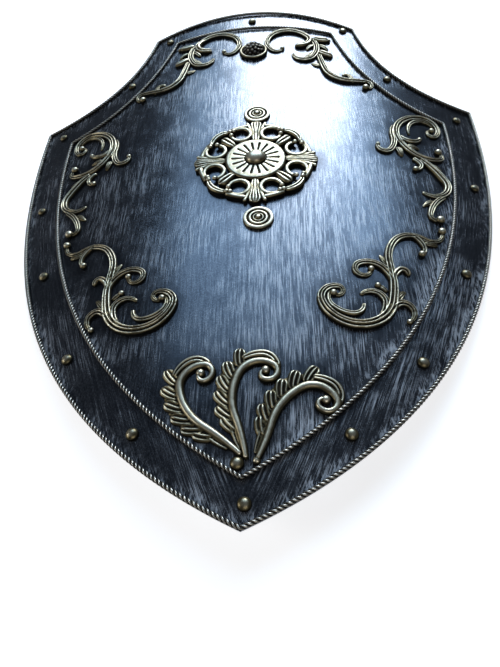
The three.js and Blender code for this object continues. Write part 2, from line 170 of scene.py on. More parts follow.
@dataclass(frozen=True)
class Outline:
    """A mirror-symmetric shield outline on the flat sheet: corners and the handles between them."""

    crown: float
    shoulder: Flat
    ear_pull: Flat
    ear: Flat
    side_pull: tuple[Flat, Flat]
    tip: float

    def curves(self) -> tuple[np.ndarray, np.ndarray, np.ndarray]:
        """The right half's curves.

        Returns:
            Top edge from the middle, ear and side, each running on to the next.
        """
        t = np.linspace(0.0, 1.0, FINE)
        u, y = self.shoulder
        top = bezier([(-u, y), (0.0, self.crown), self.shoulder], 0.5 + 0.5 * t)
        ear = bezier([self.shoulder, self.ear_pull, self.ear], t)
        side = bezier([self.ear, *self.side_pull, (0.0, self.tip)], t)
        return top, ear, side

    def half(self, spacing: float) -> np.ndarray:
        """The right half from the top to the tip, with its corners kept, as evenly spread points."""
        top, ear, side = (even_steps(curve, spacing) for curve in self.curves())
        return np.concatenate([top, ear[1:], side[1:]])

    def closed(self, spacing: float) -> np.ndarray:
        """The whole outline, once round, without a repeated last point."""
        half = self.half(spacing)
        return np.concatenate([half, half[1:-1][::-1] * [-1.0, 1.0]])

    def distance(self, rows: np.ndarray) -> np.ndarray:
        """How far points are from the outline.

        Args:
            rows: Rows of u and y.

        Returns:
            One distance for each point, negative outside the outline.
        """
        folded = np.column_stack([np.abs(rows[:, 0]), rows[:, 1]])
        _, away = nearest(folded, self.half(0.5))
        low, high = self.span(folded[:, 0])
        return np.where((rows[:, 1] > low) & (rows[:, 1] < high), away, -away)

    def span(self, u: np.ndarray) -> tuple[np.ndarray, np.ndarray]:
        """Lowest and highest y of the outline over each distance from the middle line.

        Args:
            u: Distances from the middle line.

        Returns:
            Lowest y and highest y.
        """
        top, ear, side = self.curves()
        upper = np.concatenate([top, ear[1:]])
        high = np.interp(u, upper[:, 0], upper[:, 1])
        low = np.interp(u, side[::-1, 0], side[::-1, 1])
        return np.minimum(low, high), high


RIM = Outline(
    crown=308.0,
    shoulder=(114.5, 238.5),
    ear_pull=(135.0, 124.0),
    ear=(229.0, 110.5),
    side_pull=((229.0, -5.0), (204.0, -225.5)),
    tip=-316.0,
)
BORDER = Outline(
    crown=252.0,
    shoulder=(88.0, 225.0),
    ear_pull=(115.0, 109.5),
    ear=(191.5, 78.5),
    side_pull=((191.5, -62.0), (138.0, -208.0)),
    tip=-286.0,
)


class Slot(Enum):
    """The record's material slots."""

    SHEET = "iron_sheet"
    WIRE = "twisted_wire"
    BRASS = "antique_brass"
    BOSS = "dark_bronze"


class Section(Enum):
    """Cross-sections of a stroke: where its grooves run, as shares of its half width."""

    STEM = (-0.34, 0.34)
    ROUND = ()
    LEAF = (-0.5, 0.0, 0.5)
    BUD = (0.2,)
    SPLIT = (0.0,)


@dataclass(frozen=True)
class Stroke:
    """One stroke of a casting: a start, a heading and runs of (length, turn), with its widths."""

    at: Flat
    heading: float
    bends: tuple[tuple[float, float], ...]
    width: tuple[float, float, float]
    knobs: tuple[float, float] = (0.0, 0.0)
    section: Section = Section.STEM
    rise: float | None = None

    def length(self) -> float:
        """The whole length of the stroke."""
        return sum(length for length, _ in self.bends)

    def trace(self, step: float) -> np.ndarray:
        """Stations along the stroke.

        Args:
            step: Greatest distance between stations.

        Returns:
            Rows of u, y, heading in radians and distance along.
        """
        rows = [(self.at[0], self.at[1], math.radians(self.heading), 0.0)]
        for length, turn in self.bends:
            steps = max(2, math.ceil(length / step))
            half = math.radians(turn) / steps / 2
            chord = length / steps * (math.sin(half) / half if half else 1.0)
            for _ in range(steps):
                u, y, heading, along = rows[-1]
                middle = heading + half
                rows.append((
                    u + chord * math.cos(middle),
                    y + chord * math.sin(middle),
                    heading + 2 * half,
                    along + length / steps,
                ))
        return np.array(rows)

    def width_at(self, share: np.ndarray) -> np.ndarray:
        """Widths at shares of the length, on a curve through the start, middle and end widths."""
        start, middle, end = self.width
        s = share
        return start * (1 - s) * (1 - 2 * s) + 4 * middle * s * (1 - s) + end * s * (2 * s - 1)

    def mirrored(self) -> "Stroke":
        """The same stroke on the other side of the shield."""
        bends = tuple((length, -turn) for length, turn in self.bends)
        return replace(self, at=(-self.at[0], self.at[1]), heading=180.0 - self.heading, bends=bends)

    def turned(self, centre: Flat, angle: float) -> "Stroke":
        """The stroke, drawn round the origin, turned by an angle and moved to a centre.

        Args:
            centre: Where the origin moves to.
            angle: The turn in degrees.

        Returns:
            The turned stroke.
        """
        c, s = math.cos(math.radians(angle)), math.sin(math.radians(angle))
        u, y = self.at
        place = (centre[0] + c * u - s * y, centre[1] + s * u + c * y)
        return replace(self, at=place, heading=self.heading + angle)


LEAF, BUD, ROUND, SPLIT = Section.LEAF, Section.BUD, Section.ROUND, Section.SPLIT

UPPER_SCROLL = (
    Stroke((118, 31), -112, ((19, 168), (21, 41), (19, -35)), (4, 6.5, 4), (2.4, 0)),
    Stroke((141, 35), 117, ((28, -52), (33, -59), (36, -138), (18, -230)), (7, 7.5, 3), (0, 3)),
    Stroke((152, 52), 107, ((26, -80), (20, -82)), (2.5, 5, 3), section=BUD),
    Stroke((140, 40), -74, ((19, 29), (28, 69), (13, 125)), (6, 7, 4), (0, 3.6)),
    Stroke((141, 48), -73, ((25, 133),), (4, 6, 4.5), (0, 2.4), BUD),
    Stroke((146, 34), -15, ((13, 10),), (5, 6, 2), section=LEAF),
    Stroke((137, 30), -82, ((13, 10),), (5, 6, 2.5), section=LEAF),
    Stroke((149, 16), -33, ((9, -28), (13, -124)), (4, 5, 3), (0, 2.8), BUD),
    Stroke((156, 16), -45, ((33, -21), (28, -102), (14, -65)), (6, 8, 3)),
    Stroke((166, 10), -33, ((11, 15),), (4, 5, 1.5), section=LEAF),
    Stroke((171, -32), -147, ((31, 41), (12, 130)), (5, 6, 3.5), (0, 3.8)),
    Stroke((159, -39), -147, ((14, 8),), (4, 5, 1.5), section=LEAF),
)
LOWER_SCROLL = (
    Stroke((159, -76), -81, ((25, -129), (30, 84), (25, 40), (20, -4)), (3.5, 6.5, 7), (3.4, 0)),
    Stroke((131, -84), -25, ((18, -62), (7, -69)), (5, 5, 3.5), (0, 3), BUD),
    Stroke((141, -91), -10, ((12, 7),), (4, 5, 3), section=LEAF),
    Stroke(
        (110, -131), -92, ((24, -12), (28, -58), (43, -93), (23, -112), (16, -225)), (7, 8.5, 3), (0, 2.8)
    ),
    Stroke((85, -156), -81, ((16, -105), (14, -39), (16, -83)), (3.5, 5, 2.5), section=BUD),
    Stroke((93, -171), 38, ((18, 46), (15, 87), (11, 60)), (5, 6, 3)),
    Stroke((109, -136), 86, ((20, 61), (16, 59), (27, 248)), (6, 6, 3), (0, 2.6)),
    Stroke((104, -145), 126, ((9, 23),), (3, 4, 3), (0, 2.4), BUD),
    Stroke((109, -121), 115, ((15, 4),), (4, 5, 1.5), section=LEAF),
    Stroke((111, -136), 103, ((15, -66), (11, -150)), (4, 6, 4.5), section=BUD),
    Stroke((108, -156), 72, ((17, -42),), (4, 6.5, 1.5), section=LEAF),
    Stroke((99, -168), 60, ((16, -23), (15, -116), (12, -70)), (6, 6.5, 3), (0, 2.4)),
)
CREST_SCROLL = (
    Stroke((32, 192), -105, ((14, -125), (47, -113), (34, -80)), (3.5, 7, 6), (2.6, 0)),
    Stroke((53, 223), -30, ((13, -37), (28, -136)), (4, 8, 6), section=BUD),
    Stroke((61, 216), -50, ((25, -40), (19, -30), (31, -160)), (5, 7.5, 3.5)),
    Stroke((70, 190), -112, ((21, -44),), (4, 6, 2.5), section=LEAF),
    Stroke((69, 200), -153, ((15, 35),), (4, 5, 3), section=BUD),
    Stroke((71, 180), -83, ((30, 6), (34, 83), (16, -2), (20, -200)), (6, 7.5, 3), (0, 3.4)),
    Stroke((66, 212), -28, ((18, 40),), (5.5, 9, 7.5), (0, 2.6), BUD),
    Stroke((71, 198), -5, ((14, -63),), (4, 5, 3), section=BUD),
    Stroke((71, 187), -57, ((19, 47),), (5, 8, 6), section=BUD),
    Stroke((97, 130), 20, ((16, 108), (8, 120)), (5, 5, 3.5), section=LEAF),
    Stroke((101, 130), 33, ((14, 4),), (5, 5, 1.5), section=LEAF),
    Stroke((73, 159), -178, ((12, -51),), (5, 5, 1.5), section=LEAF),
)


class MeshMaker:
    """Small helpers that turn arrays and node trees into finished pieces."""

    @staticmethod
    def mesh(name: str, points: np.ndarray, faces: Sequence[Sequence[int]]) -> bpy.types.Mesh:
        """A mesh from points and faces, with its faces pointing out.

        Args:
            name: Name of the mesh.
            points: Rows of coordinates.
            faces: Point numbers of each face.

        Returns:
            The mesh, smooth shaded.
        """
        mesh = bpy.data.meshes.new(name)
        mesh.from_pydata(points.tolist(), [], [tuple(face) for face in faces])
        work = bmesh.new()
        work.from_mesh(mesh)
        bmesh.ops.remove_doubles(work, verts=work.verts, dist=1e-7)
        bmesh.ops.recalc_face_normals(work, faces=work.faces)
        work.to_mesh(mesh)
        work.free()
        mesh.shade_smooth()
        return mesh

    @staticmethod
    def baked(obj: bpy.types.Object, name: str) -> bpy.types.Mesh:
        """The evaluated mesh of an object as a plain mesh, after which the object is removed.

        Args:
            obj: Object with live modifiers.
            name: Name of the new mesh.

        Returns:
            The plain mesh.
        """
        bpy.context.view_layer.update()
        depsgraph = bpy.context.evaluated_depsgraph_get()
        mesh = bpy.data.meshes.new_from_object(obj.evaluated_get(depsgraph))
        mesh.name = name
        old = obj.data
        bpy.data.objects.remove(obj)
        bpy.data.meshes.remove(old)
        return mesh

    @staticmethod
    def linked(name: str, mesh: bpy.types.Mesh) -> bpy.types.Object:
        """An object of that mesh, at the origin, in the scene."""
        obj = bpy.data.objects.new(name, mesh)
        bpy.context.scene.collection.objects.link(obj)
        return obj

    @classmethod
    def grown(
        cls, guide: bpy.types.Mesh, tree: bpy.types.NodeTree, values: dict[str, object], name: str
    ) -> bpy.types.Mesh:
        """What a geometry tree makes of a guide.

        Args:
            guide: Mesh that the tree starts from.
            tree: The geometry tree.
            values: Its inputs by socket identifier.
            name: Name of the new mesh.

        Returns:
            The plain mesh.
        """
        obj = cls.linked(guide.name, guide)
        modifier = obj.modifiers.new("grow", "NODES")
        modifier.node_group = tree
        for key, value in values.items():
            modifier[key] = value
        return cls.baked(obj, name)

    @staticmethod
    def coordinates(mesh: bpy.types.Mesh) -> np.ndarray:
        """The vertex coordinates of a mesh as rows."""
        rows = np.empty(len(mesh.vertices) * 3)
        mesh.vertices.foreach_get("co", rows)
        return rows.reshape(-1, 3)

    @staticmethod
    def set_coordinates(mesh: bpy.types.Mesh, rows: np.ndarray) -> None:
        """Moves the vertices of a mesh."""
        mesh.vertices.foreach_set("co", np.ascontiguousarray(rows, dtype=np.float32).ravel())
        mesh.update()

    @classmethod
    def finished(
        cls, name: str, mesh: bpy.types.Mesh, finish: bpy.types.Material, slot: Slot, nodes: Sequence[str]
    ) -> bpy.types.Object:
        """A finished piece that rides on the body and stands for its CAD nodes.

        Args:
            name: Name of the piece.
            mesh: Its mesh, in metres and in place.
            finish: Its material.
            slot: Not used.
            nodes: The CAD nodes that it stands for.

        Returns:
            The piece.
        """
        mesh.materials.clear()
        mesh.materials.append(finish)
        obj = cls.linked(name, mesh)
        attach(obj, BODY)
        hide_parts(*nodes)
        LOG.info("%s: %d faces", name, len(mesh.polygons))
        return obj


class Relief:
    """Works out how raised or sunken each vertex is, how high it stands and how far it faces up, for the
    patina to follow: this paints shade on side walls and low down and a highlight on faces that look up.
    """

    ATTRIBUTE = "relief"
    BULGE_RANK = 88
    HEIGHT_RANK = 92
    MOST_LIFT = 1.7
    # raised follows hollows and ridges; lifted and level are painted light: shade low down and on side
    # walls, a highlight on faces that look up
    SHARES = {"raised": 0.5, "lifted": 0.2, "level": 0.44}
    BASE = -0.14

    @staticmethod
    def spread(values: np.ndarray, edges: np.ndarray, rounds: int) -> np.ndarray:
        """Averages values over neighbouring vertices.

        Args:
            values: One row for each vertex.
            edges: Vertex pairs.
            rounds: Times to average.

        Returns:
            The smoothed rows.
        """
        ends = np.concatenate([edges[:, 0], edges[:, 1]])
        others = np.concatenate([edges[:, 1], edges[:, 0]])
        size = len(values)
        count = np.maximum(np.bincount(ends, minlength=size), 1)
        columns = values.reshape(size, -1)
        for _ in range(rounds):
            sums = [np.bincount(ends, weights=column[others], minlength=size) for column in columns.T]
            columns = 0.5 * columns + 0.5 * np.stack(sums, axis=1) / count[:, None]
        return columns.reshape(values.shape)

    @staticmethod
    def edges(mesh: bpy.types.Mesh) -> np.ndarray:
        """The vertex pairs of a mesh's edges."""
        pairs = np.empty(len(mesh.edges) * 2, dtype=np.int64)
        mesh.edges.foreach_get("vertices", pairs)
        return pairs.reshape(-1, 2)

    @classmethod
    def store(cls, mesh: bpy.types.Mesh, heights: np.ndarray, rounds: int = 8) -> None:
        """Writes the relief of each vertex, from 0 in the recesses to 1 on the ridges, lower on side walls
        and near the sheet as painted shade and higher on faces that look up as a painted highlight.

        Args:
            mesh: The mesh to mark.
            heights: Height of each vertex above the sheet, in millimetres.
            rounds: Width of the details that count, as rounds of averaging.
        """
        rows = MeshMaker.coordinates(mesh)
        edges = cls.edges(mesh)
        normals = np.empty(len(rows) * 3)
        mesh.vertices.foreach_get("normal", normals)
        around = cls.spread(rows, edges, rounds)
        bulge = np.einsum("ij,ij->i", rows - around, normals.reshape(-1, 3))
        bulge = cls.spread(bulge, edges, 1)
        typical = np.percentile(np.abs(bulge), cls.BULGE_RANK)
        parts = {
            "raised": np.clip(0.5 + 0.5 * bulge / typical, 0.0, 1.0),
            "lifted": np.clip(heights / np.percentile(heights, cls.HEIGHT_RANK), 0.0, cls.MOST_LIFT),
            "level": np.clip(normals.reshape(-1, 3)[:, 2], 0.0, 1.0),
        }
        total = sum(cls.SHARES[key] * part for key, part in parts.items())
        cls.write(mesh, cls.ATTRIBUTE, cls.BASE + total)

    @staticmethod
    def write(mesh: bpy.types.Mesh, name: str, values: np.ndarray) -> None:
        """Writes one number for each vertex under a name."""
        layer = mesh.attributes.new(name, "FLOAT", "POINT")
        layer.data.foreach_set("value", values.astype(np.float32))


class NodeTree:
    """A thin layer over a node tree, so that a network reads as a list of steps."""

    def __init__(self, tree: bpy.types.NodeTree) -> None:
        """Wraps a tree and empties it.

        Args:
            tree: A shader or geometry node tree.
        """
        self.tree = tree
        tree.nodes.clear()

    def add(self, kind: str, inputs: dict | None = None, **settings: object) -> bpy.types.Node:
        """Adds a node.

        Args:
            kind: Node type.
            inputs: Values or output sockets for its inputs, by name or number.
            settings: Properties of the node.

        Returns:
            The new node.
        """
        node = self.tree.nodes.new(kind)
        for key, value in settings.items():
            setattr(node, key, value)
        for key, value in (inputs or {}).items():
            socket = node.inputs[key]
            if isinstance(value, bpy.types.NodeSocket):
                self.tree.links.new(value, socket)
            else:
                socket.default_value = value
        return node

    def math(self, operation: str, first: object, second: object = 0.0) -> bpy.types.NodeSocket:
        """The result of a Math node on two values or sockets."""
        return self.add("ShaderNodeMath", {0: first, 1: second}, operation=operation).outputs[0]

    def vector(self, operation: str, first: object, second: object) -> bpy.types.NodeSocket:
        """The result of a Vector Math node on two vectors."""
        return self.add("ShaderNodeVectorMath", {0: first, 1: second}, operation=operation).outputs[0]

    def times(self, *values: object) -> bpy.types.NodeSocket:
        """The product of values or sockets."""
        return reduce(lambda first, second: self.math("MULTIPLY", first, second), values)

    def plus(self, *values: object) -> bpy.types.NodeSocket:
        """The sum of values or sockets."""
        return reduce(lambda first, second: self.math("ADD", first, second), values)

    def scaled(self, vector: object, factor: object) -> bpy.types.NodeSocket:
        """A vector times a factor."""
        return self.add("ShaderNodeVectorMath", {0: vector, "Scale": factor}, operation="SCALE").outputs[0]

    def mix(self, share: object, first: object, second: object) -> bpy.types.NodeSocket:
        """A colour mixed from two colours or sockets."""
        ends = [(*end, 1.0) if isinstance(end, tuple) else end for end in (first, second)]
        return self.add("ShaderNodeMix", {0: share, 6: ends[0], 7: ends[1]}, data_type="RGBA").outputs[2]

    def ramp(
        self, value: object, low: float, high: float, start: float = 0.0, end: float = 1.0
    ) -> bpy.types.NodeSocket:
        """A value carried from one range to another, with soft ends."""
        inputs = {"Value": value, "From Min": low, "From Max": high, "To Min": start, "To Max": end}
        return self.add("ShaderNodeMapRange", inputs, interpolation_type="SMOOTHSTEP").outputs[0]

    def noise(
        self, vector: object, scale: float, detail: float, roughness: float = 0.55
    ) -> bpy.types.NodeSocket:
        """The value of a noise texture."""
        inputs = {"Vector": vector, "Scale": scale, "Detail": detail, "Roughness": roughness}
        return self.add("ShaderNodeTexNoise", inputs).outputs[0]

    def streaks(
        self, vector: object, scale: Sequence[float], detail: float, roughness: float
    ) -> bpy.types.NodeSocket:
        """The value of a noise texture with a scale of its own along each axis."""
        stretched = self.add("ShaderNodeMapping", {"Vector": vector, "Scale": scale}).outputs[0]
        return self.noise(stretched, 1.0, detail, roughness)

    def results(self, node: bpy.types.Node, values: dict[str, bpy.types.NodeSocket]) -> None:
        """Links sockets to the inputs of a group's output node."""
        for key, socket in values.items():
            self.tree.links.new(socket, node.inputs[key])

    def surface(self, inputs: dict) -> None:
        """Ends a material with a Principled BSDF of those inputs."""
        shader = self.add("ShaderNodeBsdfPrincipled", inputs)
        self.add("ShaderNodeOutputMaterial", {"Surface": shader.outputs[0]})

    def dressed(self, geometry: bpy.types.NodeSocket, finish: bpy.types.Material) -> None:
        """Ends a geometry tree with real geometry in a finish."""
        whole = self.add("GeometryNodeRealizeInstances", {"Geometry": geometry}).outputs[0]
        finished = self.add("GeometryNodeSetMaterial", {"Geometry": whole, "Material": finish}).outputs[0]
        self.add("NodeGroupOutput", {"Geometry": finished})


def geometry_group(
    name: str, inputs: dict[str, str]
) -> tuple[NodeTree, bpy.types.NodeOutputs, dict[str, str]]:
    """Starts a geometry node group that takes and gives geometry.

    Args:
        name: Name of the group.
        inputs: Socket type of its other inputs by name.

    Returns:
        The tree, the sockets of its input node and the identifiers of its inputs by name.
    """
    group = bpy.data.node_groups.new(name, "GeometryNodeTree")
    face = group.interface
    face.new_socket("Geometry", in_out="INPUT", socket_type="NodeSocketGeometry")
    names = {}
    for key, kind in inputs.items():
        names[key] = face.new_socket(key, in_out="INPUT", socket_type=kind).identifier
    face.new_socket("Geometry", in_out="OUTPUT", socket_type="NodeSocketGeometry")
    tree = NodeTree(group)
    return tree, tree.add("NodeGroupInput").outputs, names


def shader_group(
    name: str, inputs: dict[str, tuple[str, object]], outputs: dict[str, str]
) -> tuple[NodeTree, bpy.types.Node, bpy.types.Node]:
    """Starts a shader node group.

    Args:
        name: Name of the group.
        inputs: Socket type and default value by input name.
        outputs: Socket type by output name.

    Returns:
        The tree, its input node and its output node.
    """
    group = bpy.data.node_groups.new(name, "ShaderNodeTree")
    for key, (kind, value) in inputs.items():
        group.interface.new_socket(key, in_out="INPUT", socket_type=kind).default_value = value
    for key, kind in outputs.items():
        group.interface.new_socket(key, in_out="OUTPUT", socket_type=kind)
    tree = NodeTree(group)
    return tree, tree.add("NodeGroupInput"), tree.add("NodeGroupOutput")


class SharedEffects:
    """Shader groups that more than one finish uses, each built once."""

    FLOAT = "NodeSocketFloat"
    COLOUR = "NodeSocketColor"
    HAIR = (1300.0, 55.0, 55.0)
    BRUSH = (620.0, 17.0, 17.0)
    SWEEP = (55.0, 8.0, 8.0)
    CROSSING = (520.0, 130.0, 130.0)

    def __init__(self) -> None:
        """Builds the groups."""
        self.patina = self._patina()
        self.brushing = self._brushing()

    def _patina(self) -> bpy.types.NodeTree:
        """Dark in the recesses, metal in between and bright with wear on the ridges, with painted shade on
        side walls and near the sheet and a painted highlight on faces that look up.

        Returns:
            The group.
        """
        tree, given, result = shader_group(
            "patina",
            {
                "Recess": (self.COLOUR, (0.02, 0.016, 0.012, 1.0)),
                "Metal": (self.COLOUR, (0.3, 0.25, 0.16, 1.0)),
                "Rubbed": (self.COLOUR, (0.8, 0.75, 0.6, 1.0)),
                "Grime": (self.FLOAT, 0.5),
            },
            {"Colour": self.COLOUR, "Rough": self.FLOAT, "Height": self.FLOAT},
        )
        place = tree.add("ShaderNodeTexCoord").outputs["Object"]
        relief = tree.add("ShaderNodeAttribute", attribute_name=Relief.ATTRIBUTE).outputs["Fac"]
        blotch = tree.noise(place, 190.0, 4.0, 0.6)
        grain = tree.noise(place, 1500.0, 2.0, 0.6)
        shifted = tree.plus(relief, tree.times(tree.math("SUBTRACT", blotch, 0.5), 0.28))
        # Bright with wear on ridges and dark patina in hollows, and also a painted highlight on faces that
        # look up and painted shade on walls and low down
        worn_and_lit = tree.ramp(shifted, 0.68, 0.96)
        sunk_and_shaded = tree.ramp(shifted, 0.6, 0.38)
        metal = tree.mix(worn_and_lit, given.outputs["Metal"], given.outputs["Rubbed"])
        dirt = tree.times(tree.ramp(blotch, 0.48, 0.72), given.outputs["Grime"])
        aged = tree.mix(tree.times(dirt, 0.6), metal, given.outputs["Recess"])
        colour = tree.mix(sunk_and_shaded, aged, given.outputs["Recess"])
        rough = tree.plus(0.26, tree.times(sunk_and_shaded, 0.4), tree.times(grain, 0.16))
        height = tree.plus(tree.times(grain, 0.3), blotch)
        tree.results(result, {"Colour": colour, "Rough": rough, "Height": height})
        return tree.tree

    def _brushing(self) -> bpy.types.NodeTree:
        """Streaks left by a dry brush, down the panel and leaning in on the band, with extra strokes at the
        edges, and painted shade beside the ornaments.

        Returns:
            The group.
        """
        tree, _, result = shader_group(
            "brushing", {}, {"Share": self.FLOAT, "Height": self.FLOAT, "Soot": self.FLOAT}
        )
        place = tree.add("ShaderNodeTexCoord").outputs["Object"]
        marks = {
            name: tree.add("ShaderNodeAttribute", attribute_name=name).outputs["Fac"]
            for name in ("rim_distance", "band_across", "border_distance", "shelter")
        }
        band = tree.ramp(marks["border_distance"], 0.002, -0.002)
        drift = tree.times(tree.noise(place, 7.0, 2.0), 0.012)
        panel = tree.vector("ADD", place, tree.add("ShaderNodeCombineXYZ", {0: drift}).outputs[0])
        along = tree.add("ShaderNodeSeparateXYZ", {0: place}).outputs
        leaning = tree.add("ShaderNodeCombineXYZ", {0: marks["band_across"], 1: along[1]}).outputs[0]
        fields = []
        for flow, strength in ((panel, 0.42), (leaning, 0.3)):
            hair = tree.ramp(tree.streaks(flow, self.HAIR, 2.0, 0.65), 0.42, 0.66)
            brush = tree.ramp(tree.streaks(flow, self.BRUSH, 3.0, 0.65), 0.46, 0.72)
            sweep = tree.ramp(tree.streaks(flow, self.SWEEP, 3.0, 0.6), 0.38, 0.66, 0.1, 0.5)
            fields.append(tree.plus(tree.times(hair, strength), tree.times(brush, sweep)))
        streak = tree.add("ShaderNodeMix", {0: band, 2: fields[0], 3: fields[1]}).outputs[0]
        patch = tree.ramp(tree.noise(place, 18.0, 4.0, 0.65), 0.38, 0.62, 0.2, 1.05)
        corner = tree.ramp(tree.math("SUBTRACT", along[0], along[1]), 0.16, 0.34)
        patch = tree.times(patch, tree.plus(1.0, tree.times(corner, 1.4)))
        grain = tree.ramp(tree.noise(place, 950.0, 2.0, 0.75), 0.4, 0.72)
        fleck = tree.ramp(tree.noise(place, 620.0, 2.0, 0.7), 0.66, 0.76)
        speckle = tree.plus(tree.times(grain, 0.16), tree.times(fleck, 0.12))
        rim_rub = tree.ramp(marks["rim_distance"], 0.011, 0.003)
        border_rub = tree.ramp(marks["border_distance"], 0.011, 0.002)
        panel_rub = tree.times(border_rub, tree.math("SUBTRACT", 1.0, band))
        crossing = tree.ramp(tree.streaks(panel, self.CROSSING, 3.0, 0.7), 0.44, 0.68)
        rub = tree.times(tree.math("MAXIMUM", rim_rub, panel_rub), crossing, patch)
        streak = tree.plus(tree.times(streak, patch), speckle, tree.times(rub, 0.85))
        cover = tree.math("SUBTRACT", 1.0, tree.times(marks["shelter"], 0.4))
        share = tree.math("MINIMUM", tree.times(streak, cover), 1.0)
        cloud = tree.ramp(tree.noise(place, 90.0, 4.0, 0.65), 0.35, 0.65, 0.2, 1.0)
        # Painted shade: the sheet is darkened close to the ornaments, partly dark paint and partly the shade
        # that they cast
        shade_and_soot = tree.times(marks["shelter"], cloud, 0.55)
        tree.results(result, {"Share": share, "Height": streak, "Soot": shade_and_soot})
        return tree.tree


def new_material(name: str) -> tuple[bpy.types.Material, NodeTree]:
    """A new material and its empty node tree."""
    material = bpy.data.materials.new(name)
    material.use_nodes = True
    return material, NodeTree(material.node_tree)


@dataclass(frozen=True)
class PatinaFinish:
    """A cast or drawn metal with dark recesses and ridges bright with wear, with painted shade on its walls
    and near the sheet and a painted highlight on its upward faces.
    """

    name: str
    recess_and_shade: Colour
    metal: Colour
    rubbed_and_lit: Colour
    grime: float = 0.5
    bump: float = 0.12
    bump_depth: float = 0.0006
    metallic: float = 0.86

    def material(self, effects: SharedEffects) -> bpy.types.Material:
        """Builds the finish.

        Args:
            effects: The shared shader groups.

        Returns:
            The material.
        """
        material, tree = new_material(self.name)
        inputs = {
            "Recess": (*self.recess_and_shade, 1.0),
            "Metal": (*self.metal, 1.0),
            "Rubbed": (*self.rubbed_and_lit, 1.0),
            "Grime": self.grime,
        }
        patina = tree.add("ShaderNodeGroup", inputs, node_tree=effects.patina).outputs
        uneven = {"Height": patina["Height"], "Strength": self.bump, "Distance": self.bump_depth}
        bump = tree.add("ShaderNodeBump", uneven)
        tree.surface({
            "Base Color": patina["Colour"],
            "Roughness": patina["Rough"],
            "Normal": bump.outputs[0],
            "Metallic": self.metallic,
        })
        return material


@dataclass(frozen=True)
class BrushedIronFinish:
    """Blackened sheet iron, dry-brushed with silver along the shield, and darkened beside the ornaments by
    dark paint and painted shade.
    """

    name: str
    shade_and_soot: Colour = (0.018, 0.021, 0.027)
    dark: Colour = (0.046, 0.054, 0.07)
    silver: Colour = (0.45, 0.48, 0.53)
    rough: tuple[float, float] = (0.22, 0.42)
    metallic: tuple[float, float] = (0.92, 0.55)
    bump: float = 0.2
    bump_depth: float = 0.0003

    def material(self, effects: SharedEffects) -> bpy.types.Material:
        """Builds the finish.

        Args:
            effects: The shared shader groups.

        Returns:
            The material.
        """
        material, tree = new_material(self.name)
        brushing = tree.add("ShaderNodeGroup", node_tree=effects.brushing).outputs
        share = brushing["Share"]
        bare = tree.mix(share, self.dark, self.silver)
        uneven = {"Height": brushing["Height"], "Strength": self.bump, "Distance": self.bump_depth}
        bump = tree.add("ShaderNodeBump", uneven)
        tree.surface({
            # Painted shade: darker beside the ornaments, partly dark paint
            "Base Color": tree.mix(brushing["Soot"], bare, self.shade_and_soot),
            "Roughness": tree.ramp(share, 0.0, 0.9, *self.rough),
            "Normal": bump.outputs[0],
            "Metallic": tree.ramp(share, 0.0, 0.7, *self.metallic),
        })
        return material


@dataclass(frozen=True)
class PaleFloorFinish:
    """A plain pale studio floor."""

    name: str = "pale_floor"
    colour: Colour = (0.9, 0.9, 0.905)
    glow: float = 0.72
    rough: float = 0.8

    def material(self) -> bpy.types.Material:
        """Builds the finish."""
        material, tree = new_material(self.name)
        place = tree.add("ShaderNodeTexCoord").outputs["Object"]
        cloud = tree.noise(place, 3.0, 2.0)
        soft = tuple(0.97 * c for c in self.colour)
        colour = tree.mix(cloud, self.colour, soft)
        glow = {"Emission Color": colour, "Emission Strength": self.glow}
        tree.surface({"Base Color": colour, "Roughness": self.rough, **glow})
        return material


